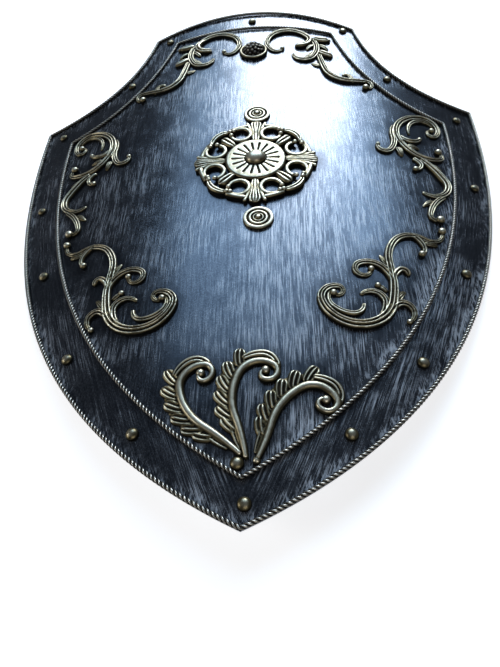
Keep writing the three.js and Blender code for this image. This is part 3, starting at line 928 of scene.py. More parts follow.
@dataclass(frozen=True)
class IronSheet:
    """The bent sheet, with the slight unevenness of hand-worked metal."""

    sheltering: tuple[Stroke, ...]
    columns: int = 100
    rows: int = 160
    unevenness: float = 0.18
    lean: float = 0.45
    lean_start: float = -40.0
    lean_soft: float = 60.0
    shelter_core: float = 4.0
    shelter_reach: float = 7.0
    waves: tuple[tuple[float, float, float], ...] = (
        (0.031, 0.017, 0.4),
        (-0.019, 0.036, 1.9),
        (0.052, -0.041, 4.1),
    )

    def waviness(self, u: np.ndarray, y: np.ndarray) -> np.ndarray:
        """Height of the unevenness at points of the sheet."""
        total = sum(np.sin(a * u + b * y + phase) for a, b, phase in self.waves)
        return self.unevenness * total / len(self.waves)

    def build(self, finish: bpy.types.Material) -> bpy.types.Object:
        """Builds the sheet.

        Args:
            finish: Its material.

        Returns:
            The finished piece.
        """
        across = np.linspace(-1.0, 1.0, 2 * self.columns + 1)
        u = RIM.ear[0] * np.sin(across * math.pi / 2)
        low, high = RIM.span(np.abs(u))
        share = np.linspace(0.0, 1.0, self.rows + 1)
        y = low[:, None] + (high - low)[:, None] * share[None, :]
        wide = np.repeat(u[:, None], self.rows + 1, axis=1)
        lift = self.waviness(wide, y)
        front = np.stack([wide, y, lift], axis=2).reshape(-1, 3)
        back = front - [0.0, 0.0, SHEET.thickness]
        points = SHEET.place(np.concatenate([front, back]))
        points[:, 2] = np.maximum(points[:, 2], 0.0)
        mesh = MeshMaker.mesh("iron_sheet", points, self.faces(len(u), self.rows + 1))
        mesh.set_sharp_from_angle(angle=math.radians(50))
        self.mark(mesh)
        return MeshMaker.finished("iron_sheet", mesh, finish, Slot.SHEET, ["shield_plate"])

    def mark(self, mesh: bpy.types.Mesh) -> None:
        """Marks each vertex with its place against the rim, the border and the ornaments.

        Args:
            mesh: Mesh of the sheet.
        """
        flat = SHEET.flatten(MeshMaker.coordinates(mesh))
        strokes = np.concatenate([stroke.trace(2.0)[:, :2] for stroke in self.sheltering])
        _, near = nearest(flat[:, :2], strokes)
        below = self.lean_soft * np.logaddexp(0.0, (self.lean_start - flat[:, 1]) / self.lean_soft)
        marks = {
            "rim_distance": np.abs(RIM.distance(flat[:, :2])) * MM,
            "band_across": (np.abs(flat[:, 0]) + self.lean * below) * MM,
            "border_distance": BORDER.distance(flat[:, :2]) * MM,
            # Nearness to the ornaments: it thins the brush streaks there and carries the painted shade
            # beside them
            "shelter": np.clip(1 - (near - self.shelter_core) / self.shelter_reach, 0.0, 1.0),
        }
        for name, values in marks.items():
            Relief.write(mesh, name, values)

    @staticmethod
    def faces(columns: int, rows: int) -> list[tuple[int, ...]]:
        """Faces of a front grid, a back grid and the edge between them.

        Args:
            columns: Points across.
            rows: Points along.

        Returns:
            Point numbers of each face.
        """
        back = columns * rows
        found: list[tuple[int, ...]] = []
        for i in range(columns - 1):
            for j in range(rows - 1):
                a, b = i * rows + j, (i + 1) * rows + j
                found.append((a, b, b + 1, a + 1))
                found.append((back + a, back + a + 1, back + b + 1, back + b))
            for j in (0, rows - 1):
                a, b = i * rows + j, (i + 1) * rows + j
                found.append((a, back + a, back + b, b))
        return found


@dataclass(frozen=True)
class TwistedWire:
    """Thin wires twisted together and laid along an outline."""

    name: str
    outline: Outline
    inset: float
    diameter: float = 3.4
    pitch: float = 9.6
    strands: int = 3
    strand_share: float = 0.225
    points_per_turn: int = 12
    sides: int = 7
    relief: tuple[float, float, float] = (0.05, 0.4, 0.5)

    def path(self) -> np.ndarray:
        """The middle line of the twist on the flat sheet.

        Returns:
            Rows of u, y and h, once round.
        """
        rows = self.outline.closed(2.0)
        ahead = np.roll(rows, -1, axis=0) - rows
        ahead /= np.linalg.norm(ahead, axis=1)[:, None]
        behind = np.roll(ahead, 1, axis=0)
        first = np.stack([ahead[:, 1], -ahead[:, 0]], axis=1)
        second = np.stack([behind[:, 1], -behind[:, 0]], axis=1)
        mitre = (first + second) / (1 + np.sum(first * second, axis=1))[:, None]
        inner = rows + self.inset * mitre
        return np.column_stack([inner, np.full(len(inner), self.diameter / 2)])

    def tree(self, finish: bpy.types.Material) -> tuple[bpy.types.NodeTree, dict[str, str]]:
        """The node tree that lays the strands.

        Args:
            finish: Material of the wire.

        Returns:
            The tree, and its input identifiers by name.
        """
        sizes = ("Pitch", "Step", "Core", "Strand")
        tree, given, names = geometry_group(f"{self.name}_twist", dict.fromkeys(sizes, "NodeSocketFloat"))
        line = tree.add("GeometryNodeMeshToCurve", {"Mesh": given["Geometry"]}).outputs[0]
        even = tree.add("GeometryNodeResampleCurve", {"Curve": line, "Length": given["Step"]}, mode="LENGTH")
        upright = tree.add("GeometryNodeSetCurveNormal", {"Curve": even.outputs[0]}, mode="Z_UP").outputs[0]
        normal = tree.add("GeometryNodeInputNormal").outputs[0]
        tangent = tree.add("GeometryNodeInputTangent").outputs[0]
        across = tree.vector("CROSS_PRODUCT", tangent, normal)
        along = tree.add("GeometryNodeSplineParameter").outputs["Length"]
        turns = tree.times(tree.math("DIVIDE", along, given["Pitch"]), 2 * math.pi)
        circle = {"Resolution": self.sides, "Radius": given["Strand"]}
        ring = tree.add("GeometryNodeCurvePrimitiveCircle", circle).outputs[0]
        joined = tree.add("GeometryNodeJoinGeometry")
        for strand in range(self.strands):
            angle = tree.plus(turns, strand * 2 * math.pi / self.strands)
            sideways = tree.scaled(normal, tree.math("COSINE", angle))
            upwards = tree.scaled(across, tree.math("SINE", angle))
            offset = tree.scaled(tree.vector("ADD", sideways, upwards), given["Core"])
            moved = tree.add("GeometryNodeSetPosition", {"Geometry": upright, "Offset": offset})
            swept = tree.add("GeometryNodeCurveToMesh", {"Curve": moved.outputs[0], "Profile Curve": ring})
            tree.tree.links.new(swept.outputs[0], joined.inputs[0])
        smooth = tree.add("GeometryNodeSetShadeSmooth", {"Geometry": joined.outputs[0]}).outputs[0]
        tree.dressed(smooth, finish)
        return tree.tree, names

    def build(self, finish: bpy.types.Material) -> bpy.types.Object:
        """Builds the twisted wire.

        Args:
            finish: Its material.

        Returns:
            The finished piece.
        """
        points = SHEET.place(self.path())
        count = len(points)
        guide = bpy.data.meshes.new(f"{self.name}_guide")
        guide.from_pydata(points.tolist(), [(i, (i + 1) % count) for i in range(count)], [])
        length = np.linalg.norm(np.roll(points, -1, axis=0) - points, axis=1).sum()
        pitch = length / round(length / (self.pitch * MM))
        strand = self.strand_share * self.diameter * MM
        sizes = {
            "Pitch": pitch,
            "Step": pitch / self.points_per_turn,
            "Core": self.diameter * MM / 2 - strand,
            "Strand": strand,
        }
        tree, names = self.tree(finish)
        values = {names[key]: float(value) for key, value in sizes.items()}
        mesh = MeshMaker.grown(guide, tree, values, self.name)
        self.mark_relief(mesh, points)
        return MeshMaker.finished(f"{self.name}_twisted", mesh, finish, Slot.WIRE, [self.name])

    def mark_relief(self, mesh: bpy.types.Mesh, middle: np.ndarray) -> None:
        """Marks the wire as raised where it stands far from the middle line, dark in the gaps between
        strands, and brighter on its upper side, which is a painted highlight.

        Args:
            mesh: Mesh of the wire.
            middle: Points of the middle line.
        """
        rows = MeshMaker.coordinates(mesh)
        number, _ = nearest(rows, middle)
        away = rows - middle[number]
        line = (np.roll(middle, -1, axis=0) - middle)[number]
        line /= np.linalg.norm(line, axis=1)[:, None]
        away -= np.sum(away * line, axis=1)[:, None] * line
        radius = self.diameter * MM / 2
        out = np.linalg.norm(away, axis=1) / radius
        above = np.maximum(away[:, 2], 0.0) / radius
        least, outward, painted_top_light = self.relief
        # Painted highlight: the upper side of the wire is marked brighter
        Relief.write(mesh, Relief.ATTRIBUTE, least + outward * out**2 + painted_top_light * out * above)


def lathe(profile: Sequence[Flat], sides: int) -> tuple[np.ndarray, list[tuple[int, ...]]]:
    """A turned solid about the height axis.

    Args:
        profile: Radius and height from axis to axis.
        sides: Points round each ring.

    Returns:
        Rows of u, y and h, and the faces.
    """
    angle = np.linspace(0.0, 2 * math.pi, sides, endpoint=False)
    rings = [np.column_stack([r * np.cos(angle), r * np.sin(angle), np.full(sides, h)]) for r, h in profile]
    faces = []
    for i in range(len(profile) - 1):
        for j in range(sides):
            a, b = i * sides + j, i * sides + (j + 1) % sides
            faces.append((a, b, b + sides, a + sides))
    return np.concatenate(rings), faces


def rounded(profile: Sequence[Flat], steps: int) -> list[Flat]:
    """Rounds the corners of a profile and keeps its ends.

    Args:
        profile: Radius and height of each corner.
        steps: Times to cut the corners.

    Returns:
        The smooth profile.
    """
    points = np.array(profile)
    for _ in range(steps):
        cut = np.empty((2 * len(points) - 2, 2))
        cut[0::2] = 0.75 * points[:-1] + 0.25 * points[1:]
        cut[1::2] = 0.25 * points[:-1] + 0.75 * points[1:]
        points = np.concatenate([points[:1], cut[1:-1], points[-1:]])
    return [tuple(point) for point in points]


@dataclass(frozen=True)
class DomeRivets:
    """The dome rivets along the band, with their tails on the back."""

    head: float = 4.5
    height: float = 3.6
    shank: float = 1.6
    tail: float = 2.8
    tail_height: float = 1.1
    tail_flat: float = 0.6
    lips: tuple[float, float] = (0.35, 0.4)
    seat: float = 0.1
    sides: int = 28
    places: tuple[Flat, ...] = (
        (-2, 255), (102, 235), (142, 144), (209, 91), (204, -12), (171, -119),
        (121, -204), (67, -258), (2, -301), (-71, -256), (-131, -194), (-175, -106),
        (-202, -19), (-207, 96), (-134, 156), (-98, 233), (-3, -277),
    )

    def rivet(self) -> bpy.types.Object:
        """One rivet for the node tree to repeat.

        Returns:
            The rivet along Z, in metres.
        """
        back = -SHEET.thickness - self.seat
        end = back - self.tail_height
        lip, tail_lip = self.lips
        dome = [
            (self.head * math.cos(a), lip + (self.height - lip) * math.sin(a))
            for a in np.linspace(0.0, math.pi / 2, 10)
        ]
        flat = self.tail_flat * self.tail
        peened = rounded([(0.0, end), (flat, end), (self.tail, back - tail_lip), (self.tail, back)], 2)
        profile = [*peened, (self.shank, back), (self.shank, -self.seat), (self.head, -self.seat), *dome]
        points, faces = lathe(profile, self.sides)
        mesh = MeshMaker.mesh("rivet_shape", points * MM, faces)
        mesh.set_sharp_from_angle(angle=math.radians(55))
        heights = MeshMaker.coordinates(mesh)[:, 2] / MM
        # Painted light: each dome grows brighter towards its top, partly wear and partly a painted
        # highlight, and darker at its base, a painted contact shadow
        Relief.write(mesh, Relief.ATTRIBUTE, np.clip(0.1 + 0.75 * heights / self.height, 0.1, 0.8))
        return MeshMaker.linked("rivet_shape", mesh)

    def build(self, finish: bpy.types.Material) -> bpy.types.Object:
        """Builds all the rivets.

        Args:
            finish: Their material.

        Returns:
            The finished piece.
        """
        flat = np.array([(u, y, 0.0) for u, y in self.places])
        guide = bpy.data.meshes.new("rivet_places")
        guide.from_pydata(SHEET.place(flat).tolist(), [], [])
        facing = guide.attributes.new("facing", "FLOAT_VECTOR", "POINT")
        facing.data.foreach_set("vector", np.array([SHEET.facing(u) for u, _ in self.places]).ravel())
        tree, given, names = geometry_group("rivet_rows", {"Rivet": "NodeSocketObject"})
        rivet = tree.add("GeometryNodeObjectInfo", {"Object": given["Rivet"]}).outputs["Geometry"]
        outward = tree.add("GeometryNodeInputNamedAttribute", {"Name": "facing"}, data_type="FLOAT_VECTOR")
        turn = tree.add("FunctionNodeAlignRotationToVector", {"Vector": outward.outputs[0]}, axis="Z")
        inputs = {"Points": given["Geometry"], "Instance": rivet, "Rotation": turn.outputs[0]}
        tree.dressed(tree.add("GeometryNodeInstanceOnPoints", inputs).outputs[0], finish)
        shape = self.rivet()
        mesh = MeshMaker.grown(guide, tree.tree, {names["Rivet"]: shape}, "dome_rivets")
        bpy.data.objects.remove(shape)
        nodes = [f"rivet_{i + 1:02d}" for i in range(len(self.places))]
        return MeshMaker.finished("dome_rivets", mesh, finish, Slot.BRASS, nodes)


def skin(work: bmesh.types.BMesh, rings: Sequence[np.ndarray]) -> None:
    """Joins rings of points into a closed skin with a cap at both ends.

    Args:
        work: The mesh in the making.
        rings: Rows of coordinates, as many in each ring.
    """
    made = [[work.verts.new(row) for row in ring] for ring in rings]
    around = len(made[0])
    for before, after in zip(made, made[1:]):
        for i in range(around):
            j = (i + 1) % around
            work.faces.new((before[i], before[j], after[j], after[i]))
    work.faces.new(made[0][::-1])
    work.faces.new(made[-1])


@dataclass(frozen=True)
class Casting:
    """A cast ornament: strokes swept on the flat sheet, fused into one skin and bent into place."""

    name: str
    strokes: tuple[Stroke, ...]
    voxel: float = 0.4
    kept: float = 0.45
    slot: Slot = Slot.BRASS
    foot: float = -SUNK
    skirt: float = 0.0
    ridge: float = 0.62
    least_rise: float = 1.2
    most_rise: float = 4.8
    across: int = 19
    step: float = 1.0
    groove_depth: float = 0.6
    groove_width: float = 0.185
    fullness: tuple[float, float] = (2.6, 0.55)
    end_rise: float = 0.35
    least_blunt: float = 0.02
    knob_lift: float = 0.45
    knob_squash: float = 0.9

    def heights(self, section: Section, x: np.ndarray) -> np.ndarray:
        """Height of a cross-section over its width, as a share of its rise.

        Args:
            section: The cross-section.
            x: Places across it, from -1 to 1.

        Returns:
            One height for each place.
        """
        flatness, steepness = self.fullness
        body = np.maximum(0.0, 1 - np.abs(x) ** flatness) ** steepness
        for groove in section.value:
            body = body - self.groove_depth * np.exp(-(((x - groove) / self.groove_width) ** 2))
        return np.maximum(body, 0.0)

    def sweep(self, work: bmesh.types.BMesh, stroke: Stroke) -> None:
        """Adds one stroke to a mesh in the making.

        Args:
            work: The mesh in the making, in millimetres on the flat sheet.
            stroke: The stroke.
        """
        rows = stroke.trace(self.step)
        length = stroke.length()
        share = rows[:, 3] / length
        width = stroke.width_at(share)
        to_ends = (rows[:, 3], length - rows[:, 3])
        blunt = np.ones(len(rows))
        for away, end in zip(to_ends, (stroke.width[0], stroke.width[2])):
            near = 1 - np.clip(away / (0.5 * max(end, 1.0)), 0.0, 1.0)
            blunt = blunt * np.sqrt(np.clip(1 - near**2, self.least_blunt, 1.0))
        rise = np.clip(self.ridge * width, self.least_rise, self.most_rise)
        if stroke.rise is not None:
            rise = np.full(len(rows), stroke.rise)
        rise = rise * np.clip(self.end_rise + (1 - self.end_rise) * blunt, 0.0, 1.0)
        x = np.sin(np.linspace(-1.0, 1.0, self.across) * math.pi / 2)
        profile = self.heights(stroke.section, x)
        x = np.concatenate([x, [1.0, -1.0]])
        rings = []
        for (u, y, heading, _), wide, tall in zip(rows, width * blunt, rise):
            heights = np.concatenate([self.skirt + tall * profile, [self.foot, self.foot]])
            half = x * wide / 2
            across = (u + half * math.sin(heading), y - half * math.cos(heading))
            rings.append(np.column_stack([*across, heights]))
        skin(work, rings)
        for radius, (u, y, _, _) in zip(stroke.knobs, (rows[0], rows[-1])):
            if radius > 0:
                self.knob(work, u, y, radius)

    def knob(self, work: bmesh.types.BMesh, u: float, y: float, radius: float) -> None:
        """Adds a round knob to a mesh in the making."""
        squash = Matrix.Diagonal((1.0, 1.0, self.knob_squash, 1.0))
        place = Matrix.Translation((u, y, self.skirt + self.knob_lift * radius)) @ squash
        bmesh.ops.create_uvsphere(work, u_segments=20, v_segments=14, radius=radius, matrix=place)

    def fused(self, work: bmesh.types.BMesh) -> bpy.types.Mesh:
        """One closed skin over everything in a mesh in the making.

        Args:
            work: The mesh in the making.

        Returns:
            The skin, still flat and in millimetres, with its voxel steps smoothed away.
        """
        loose = bpy.data.meshes.new(f"{self.name}_strokes")
        bmesh.ops.recalc_face_normals(work, faces=work.faces)
        work.to_mesh(loose)
        work.free()
        obj = MeshMaker.linked(f"{self.name}_strokes", loose)
        remesh = obj.modifiers.new("fuse", "REMESH")
        remesh.mode = "VOXEL"
        remesh.voxel_size = self.voxel
        mesh = MeshMaker.baked(obj, self.name)
        rows = Relief.spread(MeshMaker.coordinates(mesh), Relief.edges(mesh), 2)
        rows[:, 2] = np.maximum(rows[:, 2], self.foot)
        MeshMaker.set_coordinates(mesh, rows)
        return mesh

    def build(
        self, finish: bpy.types.Material, more: Callable[[bmesh.types.BMesh], None] | None = None
    ) -> bpy.types.Object:
        """Builds the casting.

        Args:
            finish: Its material.
            more: Adds other shapes to the mesh in the making.

        Returns:
            The finished piece.
        """
        work = bmesh.new()
        for stroke in self.strokes:
            self.sweep(work, stroke)
        if more:
            more(work)
        mesh = self.fused(work)
        flat = MeshMaker.coordinates(mesh)
        MeshMaker.set_coordinates(mesh, SHEET.place(flat))
        mesh.shade_smooth()
        Relief.store(mesh, flat[:, 2])
        return MeshMaker.finished(f"{self.name}_cast", self.thinned(mesh), finish, self.slot, [self.name])

    def thinned(self, mesh: bpy.types.Mesh) -> bpy.types.Mesh:
        """The skin without the triangles that its even places can spare.

        Args:
            mesh: The skin as the voxels left it, with its relief stored.

        Returns:
            The lighter skin.
        """
        obj = MeshMaker.linked(f"{self.name}_dense", mesh)
        thin = obj.modifiers.new("thin", "DECIMATE")
        thin.ratio = self.kept
        return MeshMaker.baked(obj, self.name)


@dataclass(frozen=True)
class Roundel:
    """The openwork roundel: calyxes, C scrolls and leaf arcs round a fluted, domed disc."""

    centre: Flat = (5.0, 2.0)
    disc: float = 27.0
    dome: float = 9.0
    dome_height: float = 10.5
    disc_base: float = 0.6
    disc_top: float = 5.0
    flutes: int = 18
    flute_reach: tuple[float, float] = (11.0, 20.5)
    flute_depth: float = 1.5
    flute_fade: float = 1.5
    flute_width: tuple[float, float] = (0.3, 0.02)
    bevel: tuple[float, float] = (2.2, 1.2)
    moat: tuple[float, float] = (1.2, 0.8)
    dome_sunk: float = 0.6
    loop_reach: float = 39.0
    loop_swing: float = 21.0
    loop_radius: float = 8.9
    loop_open: float = 75.0
    loop_sweep: float = 318.0
    sides: int = 180

    def strokes(self) -> tuple[Stroke, ...]:
        """Draws the openwork.

        Returns:
            Its strokes, quarter by quarter.
        """
        found = []
        calyx = Stroke((24, 0), 0, ((31.5, 0),), (6, 6.5, 15), section=LEAF)
        rib = Stroke((28, 2), 7, ((27, 17),), (2.5, 3.6, 3.6), section=ROUND)
        bud = Stroke((26, 0), 0, ((18, 0),), (4, 9.5, 8.5), section=SPLIT)
        leaf_arc = Stroke((46, -11.5), 48, ((25.5, 84),), (4, 6.4, 4), (2.3, 2.3), SPLIT)
        edge = Stroke((49.0, 7.0), 99, ((19.5, 23),), (4.5, 4.5, 4.5), section=ROUND, rise=1.8)
        for quarter in range(4):
            turn = 90.0 * quarter
            found.append(calyx.turned(self.centre, turn))
            found.append(rib.turned(self.centre, turn))
            found.append(rib.mirrored().turned(self.centre, turn + 180))
            found.append(bud.turned(self.centre, turn + 45))
            found.append(leaf_arc.turned(self.centre, turn + 45))
            found.append(edge.turned(self.centre, turn))
            found.append(edge.mirrored().turned(self.centre, turn + 180))
            found.extend(self.loop(turn, hand) for hand in (1, -1))
        return tuple(found)

    def loop(self, turn: float, hand: int) -> Stroke:
        """One C scroll beside a calyx, open towards the diagonal.

        Args:
            turn: Direction of the calyx in degrees.
            hand: Which side of it, 1 or -1.

        Returns:
            The scroll's stroke.
        """
        swing = math.radians(turn + hand * self.loop_swing)
        opening = turn + hand * self.loop_open
        half_gap = 180.0 - self.loop_sweep / 2
        begin = math.radians(opening + half_gap)
        at = (
            self.centre[0] + self.loop_reach * math.cos(swing) + self.loop_radius * math.cos(begin),
            self.centre[1] + self.loop_reach * math.sin(swing) + self.loop_radius * math.sin(begin),
        )
        length = math.radians(self.loop_sweep) * self.loop_radius
        bends = ((length, self.loop_sweep),)
        return Stroke(at, opening + half_gap + 90, bends, (3.4, 4.6, 3.4), (2.3, 2.3), ROUND)

    def disc_height(self, r: float, angle: float) -> float:
        """Height of the disc's face at a radius and an angle.

        Args:
            r: Distance from the middle.
            angle: Direction in radians.

        Returns:
            Height above the sheet.
        """
        if r < self.dome:
            base = self.disc_top - self.dome_sunk
            return base + (self.dome_height - base) * math.sqrt(1 - (r / self.dome) ** 2)
        bevel_width, bevel_drop = self.bevel
        height = self.disc_top - bevel_drop * max(0.0, 1 - (self.disc - r) / bevel_width) ** 2
        inner, outer = self.flute_reach
        entering = 1 + (r - inner) / self.flute_fade
        leaving = 1 + (outer - r) / self.flute_fade
        within = min(1.0, max(0.0, entering)) * min(1.0, max(0.0, leaving))
        turn = math.remainder(angle * self.flutes, 2 * math.pi) / self.flutes
        narrow, growth = self.flute_width
        groove = math.exp(-((turn * r / (narrow + growth * r)) ** 2))
        height -= self.flute_depth * groove * within
        moat_width, moat_depth = self.moat
        return height - moat_depth if r < self.dome + moat_width else height

    def add_disc(self, work: bmesh.types.BMesh) -> None:
        """Adds the fluted disc to a mesh in the making.

        Args:
            work: The mesh in the making.
        """
        dome = np.linspace(0.4, self.dome - 0.05, 16)
        face = np.linspace(self.dome, self.disc, 30)
        angles = np.linspace(0.0, 2 * math.pi, self.sides, endpoint=False)
        around = np.column_stack([np.cos(angles), np.sin(angles)])
        rings = []
        for r in (*dome, *face):
            heights = [self.disc_height(r, a) for a in angles]
            rings.append(np.column_stack([self.centre + r * around, heights]))
        foot = np.column_stack([rings[-1][:, :2], np.full(self.sides, self.disc_base)])
        skin(work, [*rings, foot])

    def build(self, finish: bpy.types.Material) -> bpy.types.Object:
        """Builds the roundel in its finish."""
        openwork = Casting("roundel", self.strokes(), skirt=2.6, ridge=0.42, most_rise=3.0)
        return openwork.build(finish, self.add_disc)


@dataclass(frozen=True)
class SideStroke:
    """A stroke that starts beside a stem: how far along it, how far out and how much it leans away."""

    along: float
    offset: float
    lean: float
    bends: tuple[tuple[float, float], ...]
    width: tuple[float, float, float]
    section: Section
    rise: float

    def beside(self, stem: np.ndarray) -> Stroke:
        """The stroke in its place beside a traced stem.

        Args:
            stem: Stations along the stem.

        Returns:
            The stroke.
        """
        u, y, turn = (float(np.interp(self.along, stem[:, 3], stem[:, k])) for k in range(3))
        at = (u - self.offset * math.sin(turn), y + self.offset * math.cos(turn))
        heading = math.degrees(turn) + self.lean
        return Stroke(at, heading, self.bends, self.width, section=self.section, rise=self.rise)


@dataclass(frozen=True)
class Plume:
    """A curled plume: a round stem that ends in a volute, with a vane of leaf lobes on its outer side."""

    name: str
    foot: Flat
    heading: float
    bends: tuple[tuple[float, float], ...] = ((25, 12), (33, -46), (27, -100), (19, -170), (9, -150))
    width: tuple[float, float, float] = (4.0, 6.6, 3.6)
    stem_rise: float = 3.8
    curl_knob: float = 3.3
    foot_knob: float = 0.0
    foot_reach: float = 3.5
    lobes: int = 6
    lobe_step: float = 9.4
    lean_step: float = 3.0
    lobe: SideStroke = SideStroke(15.0, 1.5, 40.0, ((15.4, -26),), (6.5, 9.4, 8.6), Section.STEM, 2.7)
    crest: SideStroke = SideStroke(66.0, 6.0, 2.0, ((13, -35), (21, -105)), (4.0, 6.6, 4.0), SPLIT, 2.9)
    tail: SideStroke = SideStroke(3.0, 2.6, 12.0, ((20, -8),), (2.5, 5.0, 5.0), SPLIT, 2.3)
    vane: SideStroke = SideStroke(
        12.0, 4.5, 4.0, ((14, 10), (32, -46), (14, -42)), (2.5, 6.5, 4.0), ROUND, 1.2
    )

    def strokes(self) -> tuple[Stroke, ...]:
        """Draws the plume.

        Returns:
            The stem, and the vane and leaf strokes on its outer side.
        """
        knobs = (self.foot_knob, self.curl_knob)
        stem = Stroke(self.foot, self.heading, self.bends, self.width, knobs, ROUND, self.stem_rise)
        rows = stem.trace(0.5)
        lobes = []
        for i in range(self.lobes):
            along = self.lobe.along + i * self.lobe_step
            lobes.append(replace(self.lobe, along=along, lean=self.lobe.lean + i * self.lean_step))
        turn = math.radians(self.heading)
        u, y = self.foot
        start = (u - self.foot_reach * math.cos(turn), y - self.foot_reach * math.sin(turn))
        (first, bend), *others = self.bends
        whole = replace(stem, at=start, bends=((first + self.foot_reach, bend), *others))
        return (whole, *(side.beside(rows) for side in (self.tail, self.vane, *lobes, self.crest)))

    def build(self, finish: bpy.types.Material) -> bpy.types.Object:
        """Builds the plume in its finish."""
        return Casting(self.name, self.strokes(), groove_depth=0.62, groove_width=0.17).build(finish)


@dataclass(frozen=True)
class TurnedPiece:
    """A turned ornament on the sheet, such as a ringed disc or the ring cup."""

    name: str
    place: Flat
    profile: tuple[Flat, ...]
    closed: bool = False
    sides: int = 72

    def build(self, finish: bpy.types.Material) -> bpy.types.Object:
        """Builds the piece.

        Args:
            finish: Its material.

        Returns:
            The finished piece.
        """
        smooth = rounded(self.profile, 2)
        if self.closed:
            smooth.append(smooth[0])
        points, faces = lathe(smooth, self.sides)
        flat = points + [self.place[0], self.place[1], 0.0]
        mesh = MeshMaker.mesh(self.name, SHEET.place(flat), faces)
        Relief.store(mesh, SHEET.flatten(MeshMaker.coordinates(mesh))[:, 2], 3)
        return MeshMaker.finished(f"{self.name}_turned", mesh, finish, Slot.BRASS, [self.name])


@dataclass(frozen=True)
class CrestBoss:
    """The dark knobbly boss in the ring cup: a dome covered with small knobs."""

    place: Flat = (0.5, 187.0)
    radius: float = 11.2
    height: float = 11.0
    knobs: int = 46
    knob_radius: float = 1.75
    knob_inset: float = 1.0
    knob_cover: float = 0.93
    core_inset: tuple[float, float] = (0.8, 0.9)
    sides: int = 48

    def knob_places(self) -> np.ndarray:
        """Spreads the knobs over the dome along a sunflower spiral.

        Returns:
            Rows of u, y and h.
        """
        golden = math.pi * (3 - math.sqrt(5))
        rows = []
        for i in range(self.knobs):
            polar = math.acos(1 - self.knob_cover * (i + 0.5) / self.knobs)
            angle = golden * i
            r = (self.radius - self.knob_inset) * math.sin(polar)
            h = (self.height - self.knob_inset) * math.cos(polar)
            rows.append((self.place[0] + r * math.cos(angle), self.place[1] + r * math.sin(angle), h))
        return np.array(rows)

    def add_dome(self, work: bmesh.types.BMesh) -> None:
        """Adds the dome and its knobs to a mesh in the making.

        Args:
            work: The mesh in the making.
        """
        radius = self.radius - self.core_inset[0]
        height = self.height - self.core_inset[1]
        dome = [(radius * math.cos(a), height * math.sin(a)) for a in np.linspace(0.0, math.pi / 2, 14)]
        points, faces = lathe([(0.0, -SUNK), (radius, -SUNK), *dome], self.sides)
        verts = [work.verts.new((u + self.place[0], y + self.place[1], h)) for u, y, h in points]
        for face in faces:
            work.faces.new([verts[i] for i in face])
        bmesh.ops.remove_doubles(work, verts=work.verts, dist=1e-5)
        sphere = {"u_segments": 14, "v_segments": 10, "radius": self.knob_radius}
        for row in self.knob_places():
            bmesh.ops.create_uvsphere(work, matrix=Matrix.Translation(row), **sphere)

    def build(self, finish: bpy.types.Material) -> bpy.types.Object:
        """Builds the boss in its finish."""
        casting = Casting("crest_boss", (), voxel=0.35, kept=1.0, slot=Slot.BOSS)
        return casting.build(finish, self.add_dome)


@dataclass(frozen=True)
class Softbox:
    """A soft rectangular light: its place, the point that it faces, its width and height."""

    name: str
    at: tuple[float, float, float]
    aim: tuple[float, float, float]
    size: tuple[float, float]
    watts: float
    colour: Colour

    def hang(self) -> None:
        """Hangs the light in the scene."""
        light = bpy.data.lights.new(self.name, "AREA")
        light.shape = "RECTANGLE"
        light.size, light.size_y = self.size
        light.energy = self.watts
        light.color = self.colour
        obj = bpy.data.objects.new(self.name, light)
        facing = Vector(self.aim) - Vector(self.at)
        obj.matrix_world = Matrix.Translation(self.at) @ facing.to_track_quat("-Z", "Y").to_matrix().to_4x4()
        bpy.context.scene.collection.objects.link(obj)


SKY = (0.5, 0.74, 1.0)
LIGHTS = (
    Softbox("window", (0.19, 1.5, 0.93), (0.05, 0.15, 0.03), (0.7, 0.6), 15.0, (0.95, 0.97, 1.0)),
    Softbox("sky", (-0.125, 2.07, 1.5), (-0.125, 2.07, 0.0), (1.25, 2.1), 28.0, SKY),
    Softbox("sky_right", (0.825, 2.15, 1.5), (0.825, 2.15, 0.0), (0.65, 1.9), 20.0, SKY),
    Softbox("sky_near", (-0.165, 0.82, 1.5), (-0.165, 0.82, 0.0), (1.03, 0.4), 2.4, SKY),
    Softbox("front_fill", (0.5, -1.7, 1.3), (0.0, -0.2, 0.0), (1.6, 1.0), 11.0, (1.0, 0.98, 0.95)),
    Softbox("left_wash", (-1.9, -0.4, 0.7), (0.0, 0.05, 0.03), (1.0, 0.8), 13.0, (1.0, 0.99, 0.97)),
)


